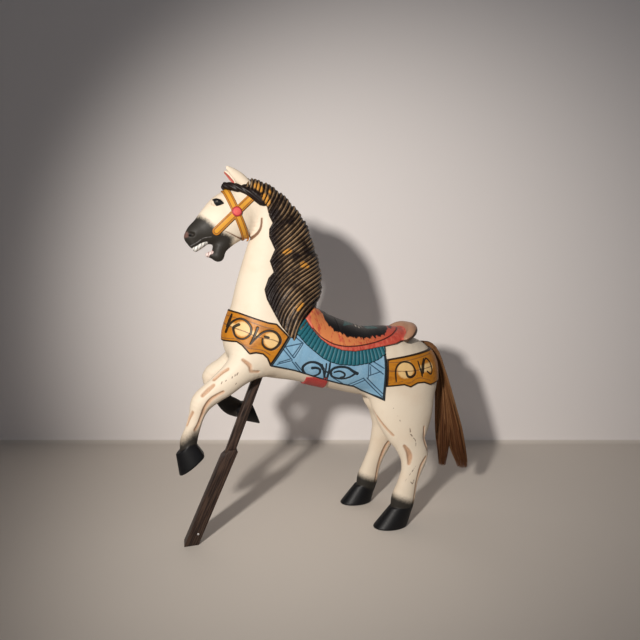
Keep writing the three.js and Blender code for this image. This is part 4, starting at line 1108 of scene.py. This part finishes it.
def colour_property(name, description, value):
    return bpy.props.FloatVectorProperty(
        name=name.replace("_", " ").capitalize(), description=description, default=value,
        subtype="COLOR", size=3, min=0, max=1)


class HorseColours(bpy.types.PropertyGroup):
    """Colours of the paint, the wood, the fibre and the backdrop"""
    __annotations__ = {name: colour_property(name, *each) for name, each in COLOURS.items()}


def cell_property(name, description, value, low):
    return bpy.props.FloatProperty(name=name, description=description, default=value, min=low, max=6)


class HorseSizes(bpy.types.PropertyGroup):
    """How finely the pieces are made, and the camera's lens"""
    coat_cell: cell_property("Coat cell", "Grid that the coat is sampled on, in mm", 1.9, 1.2)
    mane_cell: cell_property("Mane cell", "Grid that the mane is sampled on, in mm", 1.25, 1.0)
    cloth_cell: cell_property("Cloth cell", "Grid that saddle and straps are sampled on, in mm", 1.25, 0.8)
    strands: bpy.props.IntProperty(name="Strands", description="Fibres of the tail", default=1500, min=10)
    strand_radius: bpy.props.FloatProperty(
        name="Strand radius", description="Radius of a fibre", default=0.0008, unit="LENGTH")
    lens: bpy.props.FloatProperty(
        name="Lens", description="Focal length of the camera, in mm", default=27.06)


def settings():
    return bpy.context.scene.horse_colours, bpy.context.scene.horse_sizes


def place_piece(piece, material, node=None):
    piece.data.materials.clear()
    piece.data.materials.append(material)
    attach(piece, "root")
    if node:
        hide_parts(node)


def thinned(piece, triangles):
    count = sum(len(p.vertices) - 2 for p in piece.data.polygons)
    if count > triangles:
        piece.modifiers.new("thin", "DECIMATE").ratio = triangles / count
        applied(piece)
    piece.data.shade_smooth()
    return piece


def carved_piece(name, field, low, high, cell, triangles, **fields):
    """A carved piece, with the distances that its paint needs kept at its vertices."""
    cell = cell
    start, values = sampled(field, low, high, cell)
    vertices, faces = net(start, values, cell)
    vertices = drawn_to_skin(field, vertices, cell)
    piece = thinned(new_piece(name, to_part(vertices), faces), triangles)
    points = drawn_vertices(piece)
    for attribute, distance in fields.items():
        add_attribute(piece, attribute, evaluated(distance, points))
    return piece


def mirrored_field(field):
    return lambda points: field(mirrored(points))


class HORSE_OT_carving(bpy.types.Operator):
    """Make the carved horse without its mane, saddle and straps"""
    bl_idname = "horse.carving"
    bl_label = "Carved Horse"

    def execute(self, context):
        colours, sizes = settings()
        piece = carved_piece(
            "carved_horse", horse_form, (-450, -105, 0), (175, 105, 800), sizes.coat_cell, 170000,
            groove=groove_depth, hoof=hooves, muzzle=muzzle_edge, cheek=cheek_line, lip=lip_highlight_line,
            teeth=upper_teeth, lower_teeth=lower_teeth, eye=eye_edge, scratch=scratches,
            ear=mirrored_field(ear_hollow))
        add_attribute(piece, "hollow", hollowness(piece))
        place_piece(piece, painted_coat(colours), "horse")
        return {"FINISHED"}


class HORSE_OT_mane(bpy.types.Operator):
    """Make the carved mane and forelock"""
    bl_idname = "horse.mane"
    bl_label = "Carved Mane"

    def execute(self, context):
        colours, sizes = settings()
        piece = carved_piece(
            "carved_mane", mane_form, (-350, -90, 425), (-90, 90, 800), sizes.mane_cell, 170000,
            lock=lock_number, gold=gold_spots, forelock=mirrored_field(forelock))
        add_attribute(piece, "hollow", hollowness(piece))
        place_piece(piece, painted_mane(colours))
        return {"FINISHED"}


class HORSE_OT_straps(bpy.types.Operator):
    """Make the carved breast strap and rump strap"""
    bl_idname = "horse.straps"
    bl_label = "Straps"

    def execute(self, context):
        colours, sizes = settings()
        paint = painted_strap(colours)
        for name, edge, low, high in (
                ("breast_strap", breast_strap_edge, (-375, -90, 370), (-205, 90, 505)),
                ("rump_strap", rump_strap_edge, (0, -95, 315), (185, 95, 410))):
            form = shell(edge, STRAP_THICKNESS, carved_in(strap_marks, 0.7))
            piece = carved_piece(name, form, low, high, sizes.cloth_cell, 60000,
                                 edge=edge, mark=strap_marks, trim=strap_trim, ground=scroll_grounds)
            place_piece(piece, paint)
        return {"FINISHED"}


class HORSE_OT_blanket(bpy.types.Operator):
    """Make the carved blanket and its pleated fringe"""
    bl_idname = "horse.blanket"
    bl_label = "Blanket"

    def execute(self, context):
        colours, sizes = settings()
        relief = both(carved_in(blanket_marks, 0.6), carved_in(blanket_lines, 1.0))
        piece = carved_piece(
            "blanket", shell(blanket_edge, BLANKET_THICKNESS, relief), (-260, -95, 280), (10, 95, 495),
            sizes.cloth_cell, 100000, edge=blanket_edge, mark=blanket_marks, trim=blanket_lines)
        place_piece(piece, painted_blanket(colours))
        form = shell(fringe_edge, FRINGE_THICKNESS, pleat_hollow)
        piece = carved_piece("fringe", form, (-210, -95, 370), (15, 95, 495), sizes.cloth_cell, 80000,
                             edge=fringe_edge, pleat=pleat_wave)
        place_piece(piece, painted_fringe(colours))
        return {"FINISHED"}


class HORSE_OT_saddle(bpy.types.Operator):
    """Make the carved saddle and the cinch below the belly"""
    bl_idname = "horse.saddle"
    bl_label = "Saddle"

    def execute(self, context):
        colours, sizes = settings()
        piece = carved_piece(
            "saddle", saddle_form, (-195, -95, 380), (115, 95, 510), sizes.cloth_cell, 90000,
            edge=saddle_edge, mark=saddle_line, top=saddle_top, seat=seat_edge, leaf=seat_leaves,
            bud=seat_buds, cantle=cantle)
        place_piece(piece, painted_saddle(colours))
        form = shell(cinch_edge, STRAP_THICKNESS)
        piece = carved_piece("cinch", form, (-175, -95, 285), (-120, 95, 355), sizes.cloth_cell, 20000)
        place_piece(piece, painted_cinch(colours))
        return {"FINISHED"}


class HORSE_OT_bridle(bpy.types.Operator):
    """Make the carved bridle and its rosettes"""
    bl_idname = "horse.bridle"
    bl_label = "Bridle"

    def execute(self, context):
        colours, sizes = settings()
        piece = carved_piece(
            "bridle", bridle_form, (-370, -50, 630), (-260, 50, 775), 0.8 * sizes.cloth_cell, 40000,
            edge=bridle_straps, rose=rosette_edge)
        place_piece(piece, painted_bridle(colours))
        return {"FINISHED"}


STRAND_SEED = 7
STRAND_SIDES = 3

# The tail: guide lines of its two tassels, x, y, z and the spread in the side view and along Y
TASSELS = [
    [(112, 0, 408, 5, 5), (130, 0, 411, 7, 6), (146, 0, 405, 10, 9), (161, 0, 382, 12, 12),
     (173, 0, 350, 13, 14), (182, 0, 310, 13, 15), (188, 2, 260, 15, 17), (193, 4, 210, 18, 19),
     (195, 5, 165, 17, 19), (196, 6, 120, 11, 13), (194, 6, 80, 6, 7)],
    [(112, 0, 408, 5, 5), (130, 0, 411, 7, 6), (147, 0, 405, 10, 9), (163, 0, 383, 12, 13),
     (178, 0, 345, 12, 14), (194, -1, 295, 14, 16), (208, -3, 240, 17, 18), (221, -4, 190, 20, 19),
     (232, -5, 140, 20, 18), (243, -6, 104, 15, 13), (247, -6, 80, 10, 9)],
]


def strand_curves(count, seed):
    """The fibres as curves, each along one of the two tassels."""
    random = np.random.default_rng(seed)
    curve = bpy.data.curves.new("fibres", "CURVE")
    curve.dimensions = "3D"
    guides = [smoothed(tassel, 2) for tassel in TASSELS]
    for index in range(count):
        guide = guides[index % 2]
        angle = random.uniform(0, 2 * math.pi)
        spread = math.sqrt(random.uniform(0, 1))
        ends = random.uniform(0.8, 1.0)
        swirl = random.uniform(-0.5, 0.5)
        wave = random.uniform(0, 2 * math.pi)
        amount = random.uniform(0.0, 2.4)
        last = max(6, int(len(guide) * ends))
        t = np.linspace(0, 1, last)
        turned = angle + swirl * t
        line = guide[:last, :3].copy()
        line[:, 0] += spread * np.cos(turned) * guide[:last, 3] + amount * t * np.sin(5 * t + wave)
        line[:, 1] += spread * np.sin(turned) * guide[:last, 4] + amount * t * np.cos(4 * t + wave)
        spline = curve.splines.new("POLY")
        spline.points.add(last - 1)
        spline.points.foreach_set("co", np.c_[to_part(line), np.ones(last)].ravel())
    return curve


def group_input(tree, name, kind, default=None):
    socket = tree.interface.new_socket(name, in_out="INPUT", socket_type=kind)
    if default is not None:
        socket.default_value = default
    return socket.identifier


def fibre_tree(material):
    """Geometry Nodes: each curve becomes a thin tapered fibre with its own number."""
    tree = bpy.data.node_groups.new("fibre_bundle", "GeometryNodeTree")
    group_input(tree, "Geometry", "NodeSocketGeometry")
    radius = group_input(tree, "Radius", "NodeSocketFloat", 0.0007)
    sides = group_input(tree, "Sides", "NodeSocketInt", 4)
    tree.interface.new_socket("Geometry", in_out="OUTPUT", socket_type="NodeSocketGeometry")

    def add(kind, sockets=None, **settings):
        node = tree.nodes.new(kind)
        for name, value in settings.items():
            setattr(node, name, value)
        for name, value in (sockets or {}).items():
            if isinstance(value, bpy.types.NodeSocket):
                tree.links.new(value, node.inputs[name])
            else:
                node.inputs[name].default_value = value
        return node.outputs

    given = add("NodeGroupInput")
    index = add("GeometryNodeInputIndex")[0]
    factor = add("GeometryNodeSplineParameter")["Factor"]
    numbered = {"Geometry": given["Geometry"], "Name": "strand", "Value": index}
    curves = add("GeometryNodeStoreNamedAttribute", numbered, domain="CURVE")["Geometry"]
    curves = add("GeometryNodeSetCurveRadius", {"Curve": curves})["Curve"]
    narrowing = {"Value": factor, "From Min": 0.75, "To Min": 1.0, "To Max": 0.25}
    taper = add("ShaderNodeMapRange", narrowing)["Result"]
    size = add("ShaderNodeMath", {0: taper, 1: given["Radius"]}, operation="MULTIPLY")[0]
    profile = add("GeometryNodeCurvePrimitiveCircle", {"Resolution": given["Sides"], "Radius": 1.0})["Curve"]
    swept = {"Curve": curves, "Profile Curve": profile, "Scale": size, "Fill Caps": True}
    real = add("GeometryNodeRealizeInstances", {"Geometry": add("GeometryNodeCurveToMesh", swept)["Mesh"]})
    painted = add("GeometryNodeSetMaterial", {"Geometry": real["Geometry"], "Material": material})
    add("NodeGroupOutput", {"Geometry": painted["Geometry"]})
    return tree, radius, sides


class HORSE_OT_tail(bpy.types.Operator):
    """Make the tail, a bundle of plant fibres"""
    bl_idname = "horse.tail"
    bl_label = "Fibre Tail"

    def execute(self, context):
        colours, sizes = settings()
        material = raw_fibre(colours)
        piece = bpy.data.objects.new("tail_fibres", strand_curves(sizes.strands, STRAND_SEED))
        context.scene.collection.objects.link(piece)
        tree, radius, sides = fibre_tree(material)
        modifier = piece.modifiers.new("fibres", "NODES")
        modifier.node_group = tree
        modifier[radius] = sizes.strand_radius
        modifier[sides] = STRAND_SIDES
        graph = context.evaluated_depsgraph_get()
        mesh = bpy.data.meshes.new_from_object(piece.evaluated_get(graph))
        bpy.data.objects.remove(piece)
        tail = bpy.data.objects.new("tail_fibres", mesh)
        context.scene.collection.objects.link(tail)
        mesh.shade_smooth()
        place_piece(tail, material, "tail")
        return {"FINISHED"}


# Metres
PROP_BEVEL = 0.0009
NAIL_RADIUS = 0.0022
NAIL_HEIGHT = 0.024
NAIL_DOME = 0.4


def worn_copy(node, name, bevel):
    """A copy of a CAD bar with rounded edges."""
    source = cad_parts[node].data
    mesh = bmesh.new()
    mesh.from_mesh(source)
    bmesh.ops.remove_doubles(mesh, verts=mesh.verts, dist=1e-5)
    bmesh.ops.dissolve_limit(mesh, angle_limit=0.01, verts=mesh.verts, edges=mesh.edges)
    data = bpy.data.meshes.new(name)
    mesh.to_mesh(data)
    mesh.free()
    piece = bpy.data.objects.new(name, data)
    bpy.context.scene.collection.objects.link(piece)
    rounding = piece.modifiers.new("bevel", "BEVEL")
    rounding.width = bevel
    rounding.segments = 3
    applied(piece)
    piece.data.shade_smooth()
    add_attribute(piece, "hollow", hollowness(piece, 1))
    return piece


class HORSE_OT_prop(bpy.types.Operator):
    """Make the wooden prop and the nail in its foot"""
    bl_idname = "horse.prop"
    bl_label = "Prop"

    def execute(self, context):
        colours, _ = settings()
        wood = stained_wood(colours)
        for node, name in (("prop_rod", "prop_bar"), ("prop_foot", "prop_leg")):
            place_piece(worn_copy(node, name, PROP_BEVEL), wood, node)
        place_piece(nail_head(), bright_steel(colours))
        return {"FINISHED"}


def nail_head():
    """A small domed nail head on the near face of the prop's foot."""
    mesh = bmesh.new()
    bmesh.ops.create_uvsphere(mesh, u_segments=20, v_segments=10, radius=NAIL_RADIUS)
    aside = to_part((FOOT_SOLE_X + 4 + FOOT_SLOPE * NAIL_HEIGHT * 1000, 0, 0))[0]
    place = Matrix.Translation((aside, FOOT_LOW.y, NAIL_HEIGHT))
    bmesh.ops.transform(mesh, matrix=place @ Matrix.Diagonal((1, NAIL_DOME, 1, 1)), verts=mesh.verts)
    data = bpy.data.meshes.new("prop_nail")
    mesh.to_mesh(data)
    mesh.free()
    data.shade_smooth()
    piece = bpy.data.objects.new("prop_nail", data)
    bpy.context.scene.collection.objects.link(piece)
    return piece


CAMERA_PLACE = (-422.7, -1037.2, 560.0)
CAMERA_YAW = math.radians(16)
CAMERA_PITCH = math.radians(4.87)
TABLE_DEPTH = 0.52
WALL_BEND = 0.02
FLOOR_FRONT = -3.0
WALL_HEIGHT = 3.0
WALL_WIDTH = 9.0
KEY_PLACE = (-0.93, -1.2, 0.88)
KEY_TARGET = (0.14, 0.3, 0.47)
KEY_POWER = 108
KEY_CONE = math.radians(71)
FILL_PLACE = (0.6, -1.6, 1.6)
FILL_TARGET = (0, 0, 0.4)
FILL_POWER = 3
FILL_SIZE = 1.6
SKY_STRENGTH = 0.09


def camera(lens):
    data = bpy.data.cameras.new("camera")
    data.lens = lens
    data.sensor_width = 36
    data.clip_start = 0.01
    eye = bpy.data.objects.new("camera", data)
    eye.location = to_part(CAMERA_PLACE)
    eye.rotation_euler = (math.pi / 2 - CAMERA_PITCH, 0, -CAMERA_YAW)
    bpy.context.scene.collection.objects.link(eye)
    bpy.context.scene.camera = eye


def aimed(data, place, target, power, tint):
    data.energy = power
    data.color = tint
    light = bpy.data.objects.new(data.name, data)
    light.location = place
    light.rotation_euler = (Vector(target) - Vector(place)).to_track_quat("-Z", "Y").to_euler()
    bpy.context.scene.collection.objects.link(light)


def backdrop(colours):
    """A floor that bends up into a wall, square to the camera, a little behind the horse."""
    start = TABLE_DEPTH - WALL_BEND
    profile = [(FLOOR_FRONT, 0.0), (start, 0.0)]
    for step in range(1, 7):
        angle = step / 6 * math.pi / 2
        profile.append((start + WALL_BEND * math.sin(angle), WALL_BEND - WALL_BEND * math.cos(angle)))
    profile.append((TABLE_DEPTH, WALL_HEIGHT))
    across = Vector((math.cos(CAMERA_YAW), -math.sin(CAMERA_YAW), 0)) * WALL_WIDTH / 2
    away = Vector((math.sin(CAMERA_YAW), math.cos(CAMERA_YAW), 0))
    vertices = [across * side + away * y + Vector((0, 0, z)) for y, z in profile for side in (-1, 1)]
    faces = [(2 * i, 2 * i + 1, 2 * i + 3, 2 * i + 2) for i in range(len(profile) - 1)]
    floor = new_piece("floor", vertices, faces)
    floor.data.materials.append(backdrop_paint(colours))


class HORSE_OT_stage(bpy.types.Operator):
    """Make the floor, the lights and the camera"""
    bl_idname = "horse.stage"
    bl_label = "Stage"

    def execute(self, context):
        colours, sizes = settings()
        backdrop(colours)
        camera(sizes.lens)
        key = bpy.data.lights.new("key", "SPOT")
        key.spot_size = KEY_CONE
        key.spot_blend = 1.0
        key.shadow_soft_size = 0.06
        aimed(key, KEY_PLACE, KEY_TARGET, KEY_POWER, (1.0, 0.95, 0.89))
        fill = bpy.data.lights.new("fill", "AREA")
        fill.size = FILL_SIZE
        aimed(fill, FILL_PLACE, FILL_TARGET, FILL_POWER, (0.95, 0.96, 1.0))
        world = bpy.data.worlds.new("soft light")
        world.use_nodes = True
        sky = world.node_tree.nodes["Background"].inputs
        sky["Color"].default_value = (0.95, 0.95, 1.0, 1)
        sky["Strength"].default_value = SKY_STRENGTH
        context.scene.world = world
        context.scene.view_settings.view_transform = "Standard"
        return {"FINISHED"}


OPERATORS = (HORSE_OT_carving, HORSE_OT_mane, HORSE_OT_straps, HORSE_OT_blanket, HORSE_OT_saddle,
             HORSE_OT_bridle, HORSE_OT_tail, HORSE_OT_prop, HORSE_OT_stage)


class HORSE_PT_panel(bpy.types.Panel):
    """Lists the pieces of the carousel horse"""
    bl_idname = "HORSE_PT_panel"
    bl_label = "Carousel Horse"
    bl_space_type = "VIEW_3D"
    bl_region_type = "UI"
    bl_category = "Horse"

    def draw(self, context):
        for operator in OPERATORS:
            self.layout.operator(operator.bl_idname)
        for group in (context.scene.horse_sizes, context.scene.horse_colours):
            for name in group.__annotations__:
                self.layout.prop(group, name)


CLASSES = (HorseColours, HorseSizes, *OPERATORS, HORSE_PT_panel)


def register():
    for each in CLASSES:
        bpy.utils.register_class(each)
    bpy.types.Scene.horse_colours = bpy.props.PointerProperty(type=HorseColours)
    bpy.types.Scene.horse_sizes = bpy.props.PointerProperty(type=HorseSizes)


def unregister():
    del bpy.types.Scene.horse_sizes
    del bpy.types.Scene.horse_colours
    for each in reversed(CLASSES):
        bpy.utils.unregister_class(each)


def main():
    register()
    bpy.ops.horse.stage()
    bpy.ops.horse.carving()
    bpy.ops.horse.mane()
    bpy.ops.horse.straps()
    bpy.ops.horse.blanket()
    bpy.ops.horse.saddle()
    bpy.ops.horse.bridle()
    bpy.ops.horse.tail()
    bpy.ops.horse.prop()


if __name__ == "__main__":
    main()
